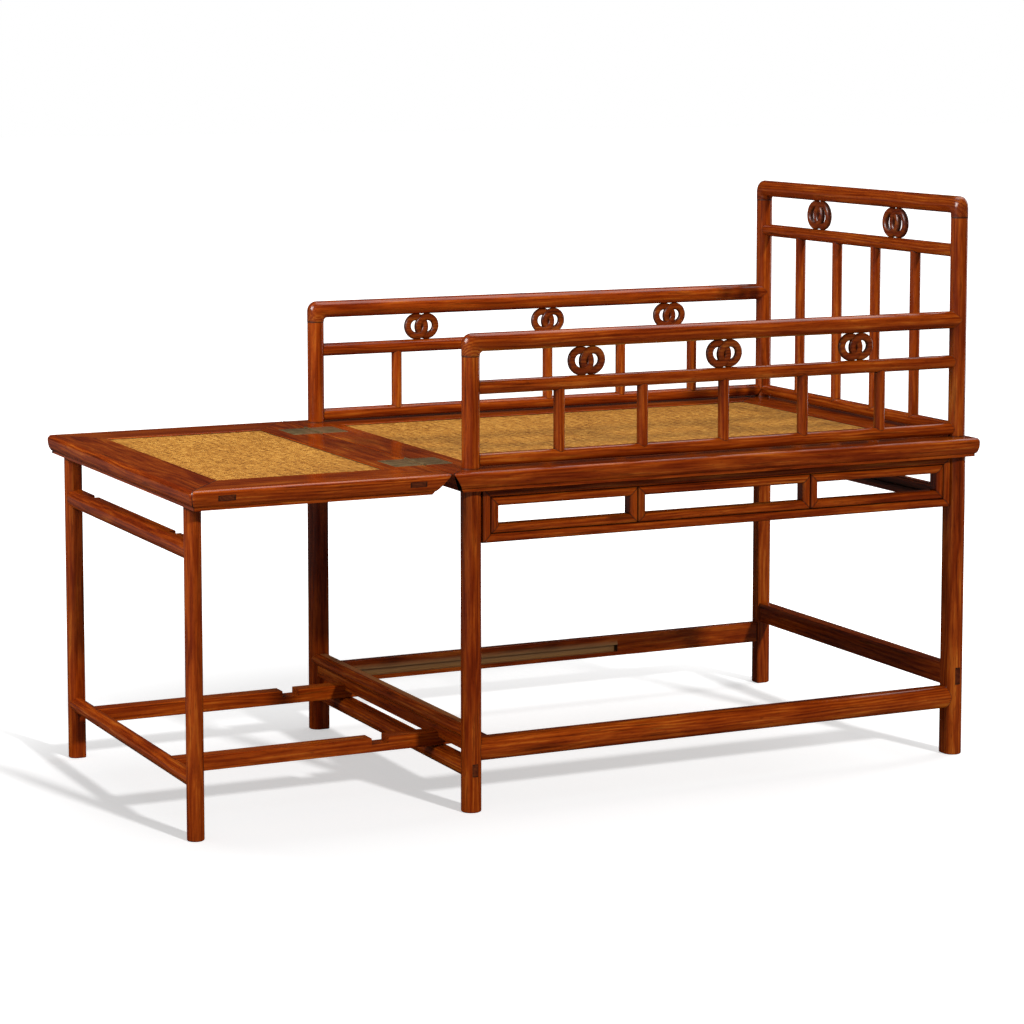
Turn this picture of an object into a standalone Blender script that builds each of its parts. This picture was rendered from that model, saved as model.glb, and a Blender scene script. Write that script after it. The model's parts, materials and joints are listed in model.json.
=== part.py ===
"""Hardwood reclining chair: a caned armchair frame, a hinged caned leg rest and a pull-out leg stand.

Metres, +Z up. X runs from the leg rest's front edge (-X) to the chair's back (+X) and Y runs across.
The origin is on the floor under the middle of the whole object. Left is the sitter's left, at -Y.
"""

import math

import bmesh
import bpy
from mathutils import Matrix, Vector

# Plan of the chair and the leg rest
LEG_SPAN_X = 0.837  # front to back leg centres
SEAT_WIDTH = 0.672  # over the moulded edges
SEAT_SIDE_REACH = 0.0385  # seat edge outside the legs' centres
SEAT_BACK_REACH = 0.0225  # seat edge behind the back legs' centres
HINGE_REACH = 0.0445  # hinge line in front of the front legs' centres
REST_LENGTH = 0.396  # hinge line to the leg rest's front edge

# Gap between pieces that touch, and the running clearance of pieces that slide
FIT = 0.0003
SLIDE_CLEARANCE = 0.0005

# Seat and leg rest frames
SEAT_TOP = 0.505
FRAME_THICK = 0.029
SIDE_RAIL_WIDTH = 0.0885
END_RAIL_WIDTH = 0.070
BACK_RAIL_WIDTH = 0.0905
EDGE_ROUND = 0.007
EDGE_TUCK = 0.008
EDGE_BEAD = 0.0045
LIP_WIDTH = 0.012
MAT_DROP = 0.0015
MAT_THICK = 0.004
BRACE_WIDTH = 0.024
SEAT_BRACES = 2
JOINT_GAP = 0.0012
SEAT_BEVEL = math.radians(32)
REST_BEVEL = math.radians(45)

# Legs and posts
LEG_DIAMETER = 0.030
POST_DIAMETER = 0.0265
FOOT_EASE = 0.002
LEG_SIDES = 16

# Arms and back
ARM_RAIL_Z = 0.688
ARM_RAIL_DIAMETER = 0.027
CREST_Z = 0.8665
CREST_DIAMETER = 0.027
ARM_RING_GAP = 0.0418  # mid rail to arm rail, which the rings fill
BACK_RING_GAP = 0.0478  # mid rail to crest rail
CORNER_ROUND = 0.015
CORNER_DROP = 0.006
MID_RAIL_DIAMETER = 0.0205
LOW_RAIL_DIAMETER = 0.019
LOW_RAIL_LIFT = 0.0025
BAR_DIAMETER = 0.017
ARM_BARS = 5
ARM_BAR_PITCH = 0.138
BACK_BARS = 4
BACK_BAR_PITCH = 0.117
ARM_RINGS = 3
ARM_RING_PITCH = 0.2315
BACK_RINGS = 2
BACK_RING_PITCH = 0.2326
RING_TUBE = 0.0098
RING_SPREAD = 0.46  # distance between the two rings' centres, as a share of a ring's outer diameter
RING_TILT = math.radians(9)
RING_SEAT = 0.0012  # how much taller a ring is than its gap, cut to lie against both rails
RAIL_SIDES = 16
BAR_SIDES = 12
RING_STEPS = 20
RING_SIDES = 8

# Aprons: a moulded outer frame round smaller moulded frames
APRON_HEIGHT = 0.080
APRON_THICK = 0.020
APRON_BAR = 0.0132
APRON_BAR_ROUND = 0.005
APRON_BACK_EASE = 0.0025
APRON_LAP = 0.0005
APRON_COPE = 0.008
SIDE_MIDDLE_FRAME = 0.298

# Stretchers
SIDE_STRETCHER_Z = 0.0912
SIDE_STRETCHER_HEIGHT = 0.0345
STRETCHER_DEPTH = 0.024
STRETCHER_BULGE = 0.012
BACK_STRETCHER_Z = 0.126
BACK_STRETCHER_HEIGHT = 0.033
FRONT_BACK_FACE = 0.0095
BEAD_FRONT = 0.0135
BEAD_FLAT = 0.003
BEAD_TOP = 0.126
BEAD_BOTTOM = 0.107
UPPER_BODY_FRONT = 0.006
UPPER_BODY_BOTTOM = 0.0885
LOWER_FRONT = 0.015
LOWER_TOP = 0.0755
LOWER_BOTTOM = 0.0505

# Leg stand
STAND_REACH = 0.4175  # stand legs in front of the chair's front legs
STAND_SPAN_Y = 0.552
STAND_LEG_SIZE = 0.025
STAND_TOP_RAIL_Z = 0.4118
STAND_TOP_RAIL_HEIGHT = 0.0275
STAND_TOP_RAIL_DEPTH = 0.022
STAND_TOP_RAIL_BULGE = 0.009
REST_NOTCH_WIDTH = 0.024
REST_NOTCH_DEPTH = 0.007
REST_NOTCH_INSET = 0.065
STAND_LOW_RAIL_Z = 0.0855
STAND_LOW_RAIL_DIAMETER = 0.023
RUNNER_SPAN_Y = 0.360
RUNNER_WIDTH = 0.028
RUNNER_HEIGHT = 0.021
RUNNER_Z = 0.087
RUNNER_NOTCH_REACH = 0.0995  # notch centre in front of the chair's front legs
RUNNER_NOTCH_LENGTH = 0.027
RUNNER_NOTCH_DEPTH = 0.0095
CROSSBAR_SETBACK = 0.040
CROSSBAR_WIDTH = 0.024
TONGUE_LENGTH = 0.007
TONGUE_HEIGHT = 0.0108
GROOVE_HEIGHT = 0.0118
GROOVE_DEPTH = 0.009
GROOVE_END = 0.5465  # behind the front legs' centres

# Hinges
HINGE_SPAN_Y = 0.398
LEAF_LENGTH = 0.0465
LEAF_WIDTH = 0.072
LEAF_THICK = 0.002
KNUCKLE_RADIUS = 0.0024
BORE_RADIUS = 0.00145
PIN_RADIUS = 0.0013
KNUCKLE_REACH = 0.0032
KNUCKLE_SIDES = 12

# Places that follow from the sizes
OVERALL_LENGTH = REST_LENGTH + HINGE_REACH + LEG_SPAN_X + SEAT_BACK_REACH
REST_FRONT_X = -OVERALL_LENGTH / 2
HINGE_X = REST_FRONT_X + REST_LENGTH
FRONT_LEG_X = HINGE_X + HINGE_REACH
BACK_LEG_X = FRONT_LEG_X + LEG_SPAN_X
SEAT_BACK_X = OVERALL_LENGTH / 2
MIDDLE_X = (FRONT_LEG_X + BACK_LEG_X) / 2
STAND_X = FRONT_LEG_X - STAND_REACH
LEG_SPAN_Y = SEAT_WIDTH - 2 * SEAT_SIDE_REACH  # left to right leg centres
LEG_Y = LEG_SPAN_Y / 2
SEAT_EDGE_Y = SEAT_WIDTH / 2
SEAT_BOTTOM = SEAT_TOP - FRAME_THICK
LIP_TOP = FRAME_THICK - MAT_DROP - MAT_THICK - FIT
LOW_RAIL_Z = SEAT_TOP + LOW_RAIL_LIFT + LOW_RAIL_DIAMETER / 2
ARM_MID_Z = ARM_RAIL_Z - (ARM_RAIL_DIAMETER + MID_RAIL_DIAMETER) / 2 - ARM_RING_GAP
BACK_MID_Z = CREST_Z - (CREST_DIAMETER + MID_RAIL_DIAMETER) / 2 - BACK_RING_GAP
SIDES = {"left": -1, "right": 1}

FINISHES = {
    "hardwood": ((0.26, 0.062, 0.016), 0.32, 0.0),
    "cane": ((0.58, 0.32, 0.075), 0.6, 0.0),
    "brass": ((0.24, 0.21, 0.11), 0.42, 0.9),
}
PAST = 0.01  # how far a cutter runs past what it cuts


def start_scene():
    """Empties the scene and makes the collections of the parts and of their cutters."""
    for old in list(bpy.data.objects):
        bpy.data.objects.remove(old)
    made = []
    for name in ("reclining_chair", "cutters"):
        collection = bpy.data.collections.new(name)
        bpy.context.scene.collection.children.link(collection)
        made.append(collection)
    return made


PARTS, CUTTERS = start_scene()


def finish_of(name, kind):
    """A Principled finish of its own for one piece."""
    colour, roughness, metallic = FINISHES[kind]
    finish = bpy.data.materials.new(name + "_finish")
    finish.use_nodes = True
    shader = finish.node_tree.nodes["Principled BSDF"]
    shader.inputs["Base Color"].default_value = (*colour, 1)
    shader.inputs["Roughness"].default_value = roughness
    shader.inputs["Metallic"].default_value = metallic
    return finish


def object_from(name, shape, at=(0, 0, 0)):
    """An object that holds the bmesh, with its origin at a place."""
    mesh = bpy.data.meshes.new(name)
    shape.to_mesh(mesh)
    shape.free()
    mesh.shade_smooth()
    mesh.set_sharp_from_angle(angle=math.radians(35))
    made = bpy.data.objects.new(name, mesh)
    made.location = at
    return made


def piece(name, shape, at=(0, 0, 0), carrier=None, kind="hardwood"):
    """A piece of the chair. A carrier is the empty on the axis that the piece moves about."""
    made = object_from(name, shape, Vector(at) - (carrier.location if carrier else Vector()))
    made.parent = carrier
    made.data.materials.append(finish_of(name, kind))
    PARTS.objects.link(made)
    return made


def cutter(name, shape, at=(0, 0, 0)):
    """A helper that other pieces are cut or joined with."""
    made = object_from(name, shape, at)
    made.hide_render = True
    made.display_type = "WIRE"
    CUTTERS.objects.link(made)
    return made


def carrier(name, at):
    """An empty on a joint's axis."""
    made = bpy.data.objects.new(name, None)
    made.location = at
    PARTS.objects.link(made)
    return made


def combine(target, others, operation="DIFFERENCE"):
    """Cuts the other objects from the target, or joins them to it."""
    for other in others:
        step = target.modifiers.new(operation.lower() + "_" + other.name, "BOOLEAN")
        step.operation = operation
        step.object = other
    return target


def loft(sections, closed=False):
    """A solid carried through rings of as many points each, capped at its ends or closed into a loop."""
    shape = bmesh.new()
    rings = [[shape.verts.new(point) for point in ring] for ring in sections]
    following = rings[1:] + rings[:1] if closed else rings[1:]
    for here, there in zip(rings, following):
        for i in range(len(here)):
            shape.faces.new((here[i - 1], here[i], there[i], there[i - 1]))
    if not closed:
        shape.faces.new(rings[0])
        shape.faces.new(rings[-1])
    bmesh.ops.recalc_face_normals(shape, faces=shape.faces)
    return shape


def block(size):
    """A box about its own centre."""
    shape = bmesh.new()
    bmesh.ops.create_cube(shape, size=1, matrix=Matrix.Diagonal((*size, 1)))
    return shape


def rod(radius, length, axis, sides):
    """A round bar about its own centre, along X, Y or Z."""
    turn = {"X": Matrix.Rotation(math.pi / 2, 4, "Y"), "Y": Matrix.Rotation(math.pi / 2, 4, "X")}
    shape = bmesh.new()
    bmesh.ops.create_cone(
        shape,
        cap_ends=True,
        segments=sides,
        radius1=radius,
        radius2=radius,
        depth=length,
        matrix=turn.get(axis, Matrix.Identity(4)),
    )
    return shape


def arc(centre, reach, start, end, steps):
    """Points on an ellipse about a centre, from one angle to another in degrees."""
    angles = [math.radians(start + (end - start) * i / steps) for i in range(steps + 1)]
    return [(centre[0] + reach[0] * math.cos(a), centre[1] + reach[1] * math.sin(a)) for a in angles]


def edge_profile(width, moulded):
    """A frame rail's section as (inward from its edge, up): an edge, a flat top and a lip under the mat."""
    lip = [(width + LIP_WIDTH, 0), (width + LIP_WIDTH, LIP_TOP), (width, LIP_TOP), (width, FRAME_THICK)]
    if not moulded:
        return lip + [(0, FRAME_THICK), (0, 0)]
    shoulder = FRAME_THICK - EDGE_ROUND
    rounded = arc((EDGE_ROUND, shoulder), (EDGE_ROUND, EDGE_ROUND), 90, 180, 3)
    tucked = arc((EDGE_TUCK, shoulder), (EDGE_TUCK, shoulder - EDGE_BEAD), 180, 270, 4)[1:]
    return lip + rounded + tucked + [(EDGE_TUCK, 0)]


def frame_rails(prefix, low, high, widths, moulded, holder=None):
    """The four mitred rails of a caned frame. Widths and moulded edges are given for front, back and side."""
    rails = {}
    middle_x = (low + high) / 2
    side_mitre = {end: widths[end] / widths["side"] for end in ("front", "back")}
    for side, sign in SIDES.items():
        profile = edge_profile(widths["side"], moulded["side"])
        start = [(low + FIT + u * side_mitre["front"] - middle_x, -sign * u, w) for u, w in profile]
        end = [(high - FIT - u * side_mitre["back"] - middle_x, -sign * u, w) for u, w in profile]
        at = (middle_x, sign * SEAT_EDGE_Y, SEAT_BOTTOM)
        rails[side] = piece(f"{prefix}_{side}_rail", loft([start, end]), at, holder)
    for end_name, edge_x, inward in (("front", low, 1), ("back", high, -1)):
        width = widths[end_name]
        profile = edge_profile(width, moulded[end_name])
        reach = [SEAT_EDGE_Y - FIT - u / side_mitre[end_name] for u, w in profile]
        rings = [[(inward * u, sign * y, w) for (u, w), y in zip(profile, reach)] for sign in (-1, 1)]
        at = (edge_x, 0, SEAT_BOTTOM)
        rails[end_name] = piece(f"{prefix}_{end_name}_rail", loft(rings), at, holder)
    return rails


def caned_mat(name, low, high, widths, holder=None):
    """The woven mat that lies on the lips of a frame's rails."""
    inner_low = low + widths["front"] + FIT
    inner_high = high - widths["back"] - FIT
    across = SEAT_WIDTH - 2 * (widths["side"] + FIT)
    at = ((inner_low + inner_high) / 2, 0, SEAT_TOP - MAT_DROP - MAT_THICK / 2)
    return piece(name, block((inner_high - inner_low, across, MAT_THICK)), at, holder, kind="cane")


def cross_brace(name, x, holder=None):
    """A bar under a mat, from lip to lip of the side rails."""
    length = SEAT_WIDTH - 2 * (SIDE_RAIL_WIDTH + LIP_WIDTH + FIT)
    return piece(name, block((BRACE_WIDTH, length, LIP_TOP)), (x, 0, SEAT_BOTTOM + LIP_TOP / 2), holder)


def round_section(radius):
    return [
        (radius * math.cos(2 * math.pi * i / LEG_SIDES), radius * math.sin(2 * math.pi * i / LEG_SIDES))
        for i in range(LEG_SIDES)
    ]


def leg_section(radius, inward):
    """A leg's outline: a circle whose inner quarter fills out to a square corner."""
    outline = []
    for x, y in round_section(radius):
        in_corner = x * inward[0] > -FIT * radius and y * inward[1] > -FIT * radius
        stretch = radius / max(abs(x), abs(y)) if in_corner else 1
        outline.append((x * stretch, y * stretch))
    return outline


def at_height(outline, z):
    return [(x, y, z) for x, y in outline]


def chair_leg(name, x, y, post_top):
    """A leg that becomes a round post above the seat, and the cutter that fits its neighbours to it."""
    inward = (1 if x < MIDDLE_X else -1, -1 if y > 0 else 1)
    radius, post = LEG_DIAMETER / 2, POST_DIAMETER / 2
    shoulder = SEAT_BOTTOM - FIT
    lower, upper = leg_section(radius, inward), round_section(post)
    rings = [at_height(leg_section(radius - FOOT_EASE, inward), 0), at_height(lower, FOOT_EASE)]
    rings += [at_height(lower, shoulder), at_height(upper, shoulder), at_height(upper, post_top - FIT)]
    leg = piece(name, loft(rings), (x, y, 0))
    wide_lower, wide_upper = leg_section(radius + FIT, inward), round_section(post + FIT)
    step = shoulder + FIT / 2
    rings = [at_height(wide_lower, -PAST), at_height(wide_lower, step)]
    rings += [at_height(wide_upper, step), at_height(wide_upper, post_top)]
    return leg, cutter(name + "_cutter", loft(rings), (x, y, 0))


def turned_corner(radius):
    """Rings round a rail's turned-down end, from the rail to the post.

    Points are (along the rail from the post's axis, up from the rail's axis, across). The inner side is
    an arc of CORNER_DROP and the outer side a corner of CORNER_ROUND.
    """
    pivot = Vector((radius + CORNER_DROP, -radius - CORNER_DROP))
    outer = 2 * radius + CORNER_DROP
    centre = Vector((CORNER_ROUND - radius, radius - CORNER_ROUND)) - pivot
    rings = []
    for turn in (0, 22.5, 45, 67.5, 90):
        angle = math.radians(turn)
        out = Vector((-math.sin(angle), math.cos(angle)))
        reach = outer / max(abs(out.x), abs(out.y))
        hit = out * reach
        if hit.x < centre.x and hit.y > centre.y:
            near = out.dot(centre)
            reach = near + math.sqrt(near**2 - centre.length_squared + CORNER_ROUND**2)
        middle = pivot + out * (CORNER_DROP + reach) / 2
        half = (reach - CORNER_DROP) / 2
        ring = []
        for i in range(RAIL_SIDES):
            round_angle = 2 * math.pi * i / RAIL_SIDES
            point = middle + out * half * math.cos(round_angle)
            ring.append((point.x, point.y, radius * math.sin(round_angle)))
        rings.append(ring)
    return rings


def arm_rail(side, sign, back_cutter):
    """The arm's top rail, turned down onto the front post and coped to the back post."""
    radius = ARM_RAIL_DIAMETER / 2
    corner = [[(a, c, h) for a, h, c in ring] for ring in turned_corner(radius)]
    back_ring = [(LEG_SPAN_X, c, h) for _, c, h in corner[0]]
    rail = piece(f"{side}_arm_rail", loft([back_ring] + corner), (FRONT_LEG_X, sign * LEG_Y, ARM_RAIL_Z))
    return combine(rail, [back_cutter])


def crest_rail():
    """The back's top rail, turned down onto both back posts."""
    rings = turned_corner(CREST_DIAMETER / 2)
    left = [[(c, a - LEG_Y, h) for a, h, c in ring] for ring in reversed(rings)]
    right = [[(c, LEG_Y - a, h) for a, h, c in ring] for ring in rings]
    return piece("crest_rail", loft(left + right), (BACK_LEG_X, 0, CREST_Z))


def rail_cutter(name, diameter, length, axis, at):
    """The cutter that fits bars and rings to a round rail."""
    return cutter(name + "_cutter", rod(diameter / 2 + FIT, length, axis, RAIL_SIDES), at)


def round_rail(name, diameter, length, axis, at, cutters):
    """A round rail between two posts, coped to them, and its cutter."""
    rail = piece(name, rod(diameter / 2, length, axis, RAIL_SIDES), at)
    return combine(rail, cutters), rail_cutter(name, diameter, length, axis, at)


def spaced(count, pitch):
    """Places of evenly spaced things about zero."""
    return [(i - (count - 1) / 2) * pitch for i in range(count)]


def arm_grille(side, sign, post_cutters, mid_cutter):
    """An arm's low rail with the upright bars that stand in it."""
    y = sign * LEG_Y
    low = rod(LOW_RAIL_DIAMETER / 2, LEG_SPAN_X, "X", RAIL_SIDES)
    grille = piece(f"{side}_arm_grille", low, (MIDDLE_X, y, LOW_RAIL_Z))
    length = ARM_MID_Z - LOW_RAIL_Z
    bars = []
    for i, x in enumerate(spaced(ARM_BARS, ARM_BAR_PITCH), 1):
        bar = rod(BAR_DIAMETER / 2, length, "Z", BAR_SIDES)
        at = (MIDDLE_X + x, y, LOW_RAIL_Z + length / 2)
        bars.append(cutter(f"{side}_arm_bar_{i}", bar, at))
    combine(grille, bars, "UNION")
    return combine(grille, [*post_cutters, mid_cutter])


def ring_shape(outer, tilt):
    """One ring standing in the plane of X and Z, leaning about X."""
    tube = RING_TUBE / 2
    bpy.ops.mesh.primitive_torus_add(
        major_radius=outer / 2 - tube,
        minor_radius=tube,
        major_segments=RING_STEPS,
        minor_segments=RING_SIDES,
    )
    torus = bpy.context.object
    shape = bmesh.new()
    shape.from_mesh(torus.data)
    bpy.data.objects.remove(torus)
    shape.transform(Matrix.Rotation(math.pi / 2 + tilt, 4, "X"))
    return shape


def double_ring(name, low, high, x, y, along_x, rail_cutters):
    """Two linked rings that fill the gap between two rails. At the top one leads, at the foot the other."""
    outer = (high - low) / math.cos(RING_TILT) + RING_SEAT
    spread = outer * RING_SPREAD / 2
    shapes = []
    for sign in (-1, 1):
        shape = ring_shape(outer, sign * RING_TILT)
        shape.transform(Matrix.Translation((sign * spread, 0, 0)))
        if not along_x:
            shape.transform(Matrix.Rotation(-math.pi / 2, 4, "Z"))
        shapes.append(shape)
    at = (x, y, (low + high) / 2)
    ring = piece(name, shapes[0], at)
    combine(ring, [cutter(name + "_mate", shapes[1], at)], "UNION")
    return combine(ring, rail_cutters)


def bar_section():
    """An apron bar's section as (share of its width from the outer edge, thickness), with a rounded front."""
    r, ease, width, half = APRON_BAR_ROUND, APRON_BACK_EASE, APRON_BAR, APRON_THICK / 2
    points = arc((width - r, half - r), (r, r), 0, 90, 3) + arc((r, half - r), (r, r), 90, 180, 3)
    points += [(0, ease - half), (ease, -half), (width - ease, -half), (width, ease - half)]
    return [(u / width, v) for u, v in points]


def moulded_frame(width, height, end_bar, facing):
    """A mitred frame of moulded bars in the plane of X and Z, about its own centre, facing +Y or -Y."""
    section = bar_section()
    if facing < 0:
        section = [(u, -v) for u, v in reversed(section)]
    rings = []
    for sx, sz in ((-1, -1), (1, -1), (1, 1), (-1, 1)):
        ring = [(sx * (width / 2 - u * end_bar), v, sz * (height / 2 - u * APRON_BAR)) for u, v in section]
        rings.append(ring)
    return loft(rings, closed=True)


def apron(name, span, inner_widths, at, facing, turned, leg_cutters):
    """An openwork apron between two legs: a coped outer frame round inner frames that meet at grooves."""
    turn = Matrix.Rotation(math.pi / 2 if turned else 0, 4, "Z")
    outer_width = span - LEG_DIAMETER + 2 * APRON_COPE
    outer = moulded_frame(outer_width, APRON_HEIGHT, APRON_BAR + APRON_COPE, facing)
    outer.transform(turn)
    made = piece(name, outer, at)
    inner_height = APRON_HEIGHT - 2 * (APRON_BAR - APRON_LAP)
    start = -sum(inner_widths) / 2
    frames = []
    for i, width in enumerate(inner_widths, 1):
        shape = moulded_frame(width + 2 * APRON_LAP, inner_height, APRON_BAR, facing)
        shape.transform(turn @ Matrix.Translation((start + width / 2, 0, 0)))
        frames.append(cutter(f"{name}_frame_{i}", shape, at))
        start += width
    combine(made, frames, "UNION")
    return combine(made, leg_cutters)


def side_apron(side, sign, leg_cutters):
    inside = LEG_SPAN_X - LEG_DIAMETER - 2 * APRON_BAR
    outer_frame = (inside - SIDE_MIDDLE_FRAME) / 2
    widths = (outer_frame, SIDE_MIDDLE_FRAME, outer_frame)
    at = (MIDDLE_X, sign * LEG_Y, SEAT_BOTTOM - FIT - APRON_HEIGHT / 2)
    return apron(f"{side}_apron", LEG_SPAN_X, widths, at, sign, False, leg_cutters)


def back_apron(leg_cutters):
    half = (LEG_SPAN_Y - LEG_DIAMETER - 2 * APRON_BAR) / 2
    at = (BACK_LEG_X, 0, SEAT_BOTTOM - FIT - APRON_HEIGHT / 2)
    return apron("back_apron", LEG_SPAN_Y, (half, half), at, -1, True, leg_cutters)


def bowed_section(depth, height, bulge):
    """A section as (outward, up) with a flat back at -depth / 2 and a bowed front."""
    front = depth / 2 - bulge
    bow = arc((front, 0), (bulge, height / 2), -90, 90, 6)
    return [(-depth / 2, -height / 2), *bow, (-depth / 2, height / 2)]


def side_stretcher(side, sign, leg_cutters):
    """A low side stretcher, bowed outside, with the groove that the stand's cross-bar runs in."""
    section = bowed_section(STRETCHER_DEPTH, SIDE_STRETCHER_HEIGHT, STRETCHER_BULGE)
    rings = [[(x, sign * u, w) for u, w in section] for x in (-LEG_SPAN_X / 2, LEG_SPAN_X / 2)]
    made = piece(f"{side}_stretcher", loft(rings), (MIDDLE_X, sign * LEG_Y, SIDE_STRETCHER_Z))
    start = FRONT_LEG_X + CROSSBAR_SETBACK - CROSSBAR_WIDTH / 2 - SLIDE_CLEARANCE
    end = FRONT_LEG_X + GROOVE_END
    inner_face = LEG_Y - STRETCHER_DEPTH / 2
    groove = block((end - start, GROOVE_DEPTH + PAST, GROOVE_HEIGHT))
    at = ((start + end) / 2, sign * (inner_face + (GROOVE_DEPTH - PAST) / 2), RUNNER_Z)
    return combine(made, [*leg_cutters, cutter(f"{side}_groove", groove, at)])


def back_stretcher(leg_cutters):
    section = bowed_section(STRETCHER_DEPTH, BACK_STRETCHER_HEIGHT, APRON_BAR_ROUND)
    rings = [[(u, y, w) for u, w in section] for y in (-LEG_Y, LEG_Y)]
    return combine(piece("back_stretcher", loft(rings), (BACK_LEG_X, 0, BACK_STRETCHER_Z)), leg_cutters)


def front_stretchers(leg_cutters, runner_windows):
    """The pair of front stretchers. The runners pass through windows cut half in each."""
    bead_middle = (BEAD_TOP + BEAD_BOTTOM) / 2
    bead_reach = (BEAD_FRONT - BEAD_FLAT, (BEAD_TOP - BEAD_BOTTOM) / 2)
    upper = [(FRONT_BACK_FACE, UPPER_BODY_BOTTOM), (FRONT_BACK_FACE, BEAD_TOP)]
    upper += arc((-BEAD_FLAT, bead_middle), bead_reach, 90, 270, 6)
    upper += [(-UPPER_BODY_FRONT, BEAD_BOTTOM), (-UPPER_BODY_FRONT, UPPER_BODY_BOTTOM)]
    depth = LOWER_FRONT + FRONT_BACK_FACE
    bowed = bowed_section(depth, LOWER_TOP - LOWER_BOTTOM, STRETCHER_BULGE)
    lower = [(FRONT_BACK_FACE - depth / 2 - u, w + (LOWER_TOP + LOWER_BOTTOM) / 2) for u, w in bowed]
    for name, section in (("front_upper_stretcher", upper), ("front_lower_stretcher", lower)):
        rings = [[(x, y, z) for x, z in section] for y in (-LEG_Y, LEG_Y)]
        combine(piece(name, loft(rings), (FRONT_LEG_X, 0, 0)), [*leg_cutters, *runner_windows])


def hinge_joint():
    """The V-shaped gap between the seat and the leg rest, as a cutter across the whole joint."""
    half, deep = JOINT_GAP / 2, FRAME_THICK + PAST
    seat_foot = (half + deep * math.tan(SEAT_BEVEL), -deep)
    rest_foot = (-half - deep * math.tan(REST_BEVEL), -deep)
    outline = [(-half, PAST), (half, PAST), (half, 0), seat_foot, rest_foot, (-half, 0)]
    rings = [[(x, y, z) for x, z in outline] for y in (-SEAT_WIDTH, SEAT_WIDTH)]
    return cutter("joint_gap", loft(rings), (HINGE_X, 0, SEAT_TOP))


def hinge_pocket(side, y):
    """The shallow recess for a hinge's leaves, with a trough for its knuckles."""
    length, depth = LEAF_LENGTH + FIT, LEAF_THICK + FIT
    trough = KNUCKLE_REACH
    outline = [(-length, PAST), (length, PAST), (length, -depth), (trough, -depth), (trough, -trough)]
    outline += [(-trough, -trough), (-trough, -depth), (-length, -depth)]
    half = LEAF_WIDTH / 2 + FIT
    rings = [[(x, across, z) for x, z in outline] for across in (-half, half)]
    return cutter(f"{side}_hinge_pocket", loft(rings), (HINGE_X, y, SEAT_TOP))


def hinge_leaf(name, y, direction, knuckles, holder=None):
    """A leaf let in flush with the top, its knuckles round the pin. Knuckles are (middle, length) along Y."""
    plate = LEAF_LENGTH - KNUCKLE_REACH
    at = Vector((HINGE_X, y, SEAT_TOP))
    shape = block((plate, LEAF_WIDTH, LEAF_THICK))
    shape.transform(Matrix.Translation((direction * (KNUCKLE_REACH + plate / 2), 0, -LEAF_THICK / 2)))
    leaf = piece(name, shape, at, holder, kind="brass")
    arms = []
    for i, (middle, length) in enumerate(knuckles, 1):
        arm = block((2 * KNUCKLE_REACH, length, LEAF_THICK - FIT))
        reach = Vector((direction * KNUCKLE_REACH, middle, -(LEAF_THICK + FIT) / 2))
        arms.append(cutter(f"{name}_arm_{i}", arm, at + reach))
        barrel = rod(KNUCKLE_RADIUS, length, "Y", KNUCKLE_SIDES)
        arms.append(cutter(f"{name}_knuckle_{i}", barrel, at + Vector((0, middle, 0))))
    combine(leaf, arms, "UNION")
    bore = rod(BORE_RADIUS, LEAF_WIDTH + PAST, "Y", KNUCKLE_SIDES)
    return combine(leaf, [cutter(f"{name}_bore", bore, at)])


def hinge(side, sign, rest_hinge):
    """A seat leaf with two knuckles, a rest leaf with one between them, and the pin."""
    y = sign * HINGE_SPAN_Y / 2
    third = LEAF_WIDTH / 3
    knuckle = third - SLIDE_CLEARANCE
    hinge_leaf(f"{side}_hinge_seat_leaf", y, 1, ((-third, knuckle), (third, knuckle)))
    hinge_leaf(f"{side}_hinge_rest_leaf", y, -1, ((0, knuckle),), rest_hinge)
    pin = rod(PIN_RADIUS, LEAF_WIDTH, "Y", KNUCKLE_SIDES)
    piece(f"{side}_hinge_pin", pin, (HINGE_X, y, SEAT_TOP), kind="brass")


def stand_leg(side, sign, slide):
    radius = STAND_LEG_SIZE / 2
    inward = (1, -sign)
    top = SEAT_BOTTOM - FIT
    outline = leg_section(radius, inward)
    rings = [at_height(leg_section(radius - FOOT_EASE, inward), 0)]
    rings += [at_height(outline, FOOT_EASE), at_height(outline, top)]
    at = (STAND_X, sign * STAND_SPAN_Y / 2, 0)
    made = piece(f"stand_{side}_leg", loft(rings), at, slide)
    wide = leg_section(radius + FIT, inward)
    return made, cutter(f"stand_{side}_leg_cutter", loft([at_height(wide, -PAST), at_height(wide, top)]), at)


def stand_top_rail(slide, leg_cutters):
    """The stand's upper rail, bowed in front, with two notches in its back edge."""
    section = bowed_section(STAND_TOP_RAIL_DEPTH, STAND_TOP_RAIL_HEIGHT, STAND_TOP_RAIL_BULGE)
    half = STAND_SPAN_Y / 2
    rings = [[(-u, y, w) for u, w in section] for y in (-half, half)]
    rail = piece("stand_top_rail", loft(rings), (STAND_X, 0, STAND_TOP_RAIL_Z), slide)
    top = STAND_TOP_RAIL_Z + STAND_TOP_RAIL_HEIGHT / 2
    notches = []
    for side, sign in SIDES.items():
        y = sign * (half - STAND_LEG_SIZE / 2 - REST_NOTCH_INSET - REST_NOTCH_WIDTH / 2)
        shape = block((STAND_TOP_RAIL_DEPTH, REST_NOTCH_WIDTH, 2 * REST_NOTCH_DEPTH))
        at = (STAND_X + STAND_TOP_RAIL_DEPTH / 2, y, top)
        notches.append(cutter(f"stand_{side}_notch", shape, at))
    return combine(rail, [*leg_cutters, *notches])


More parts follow.
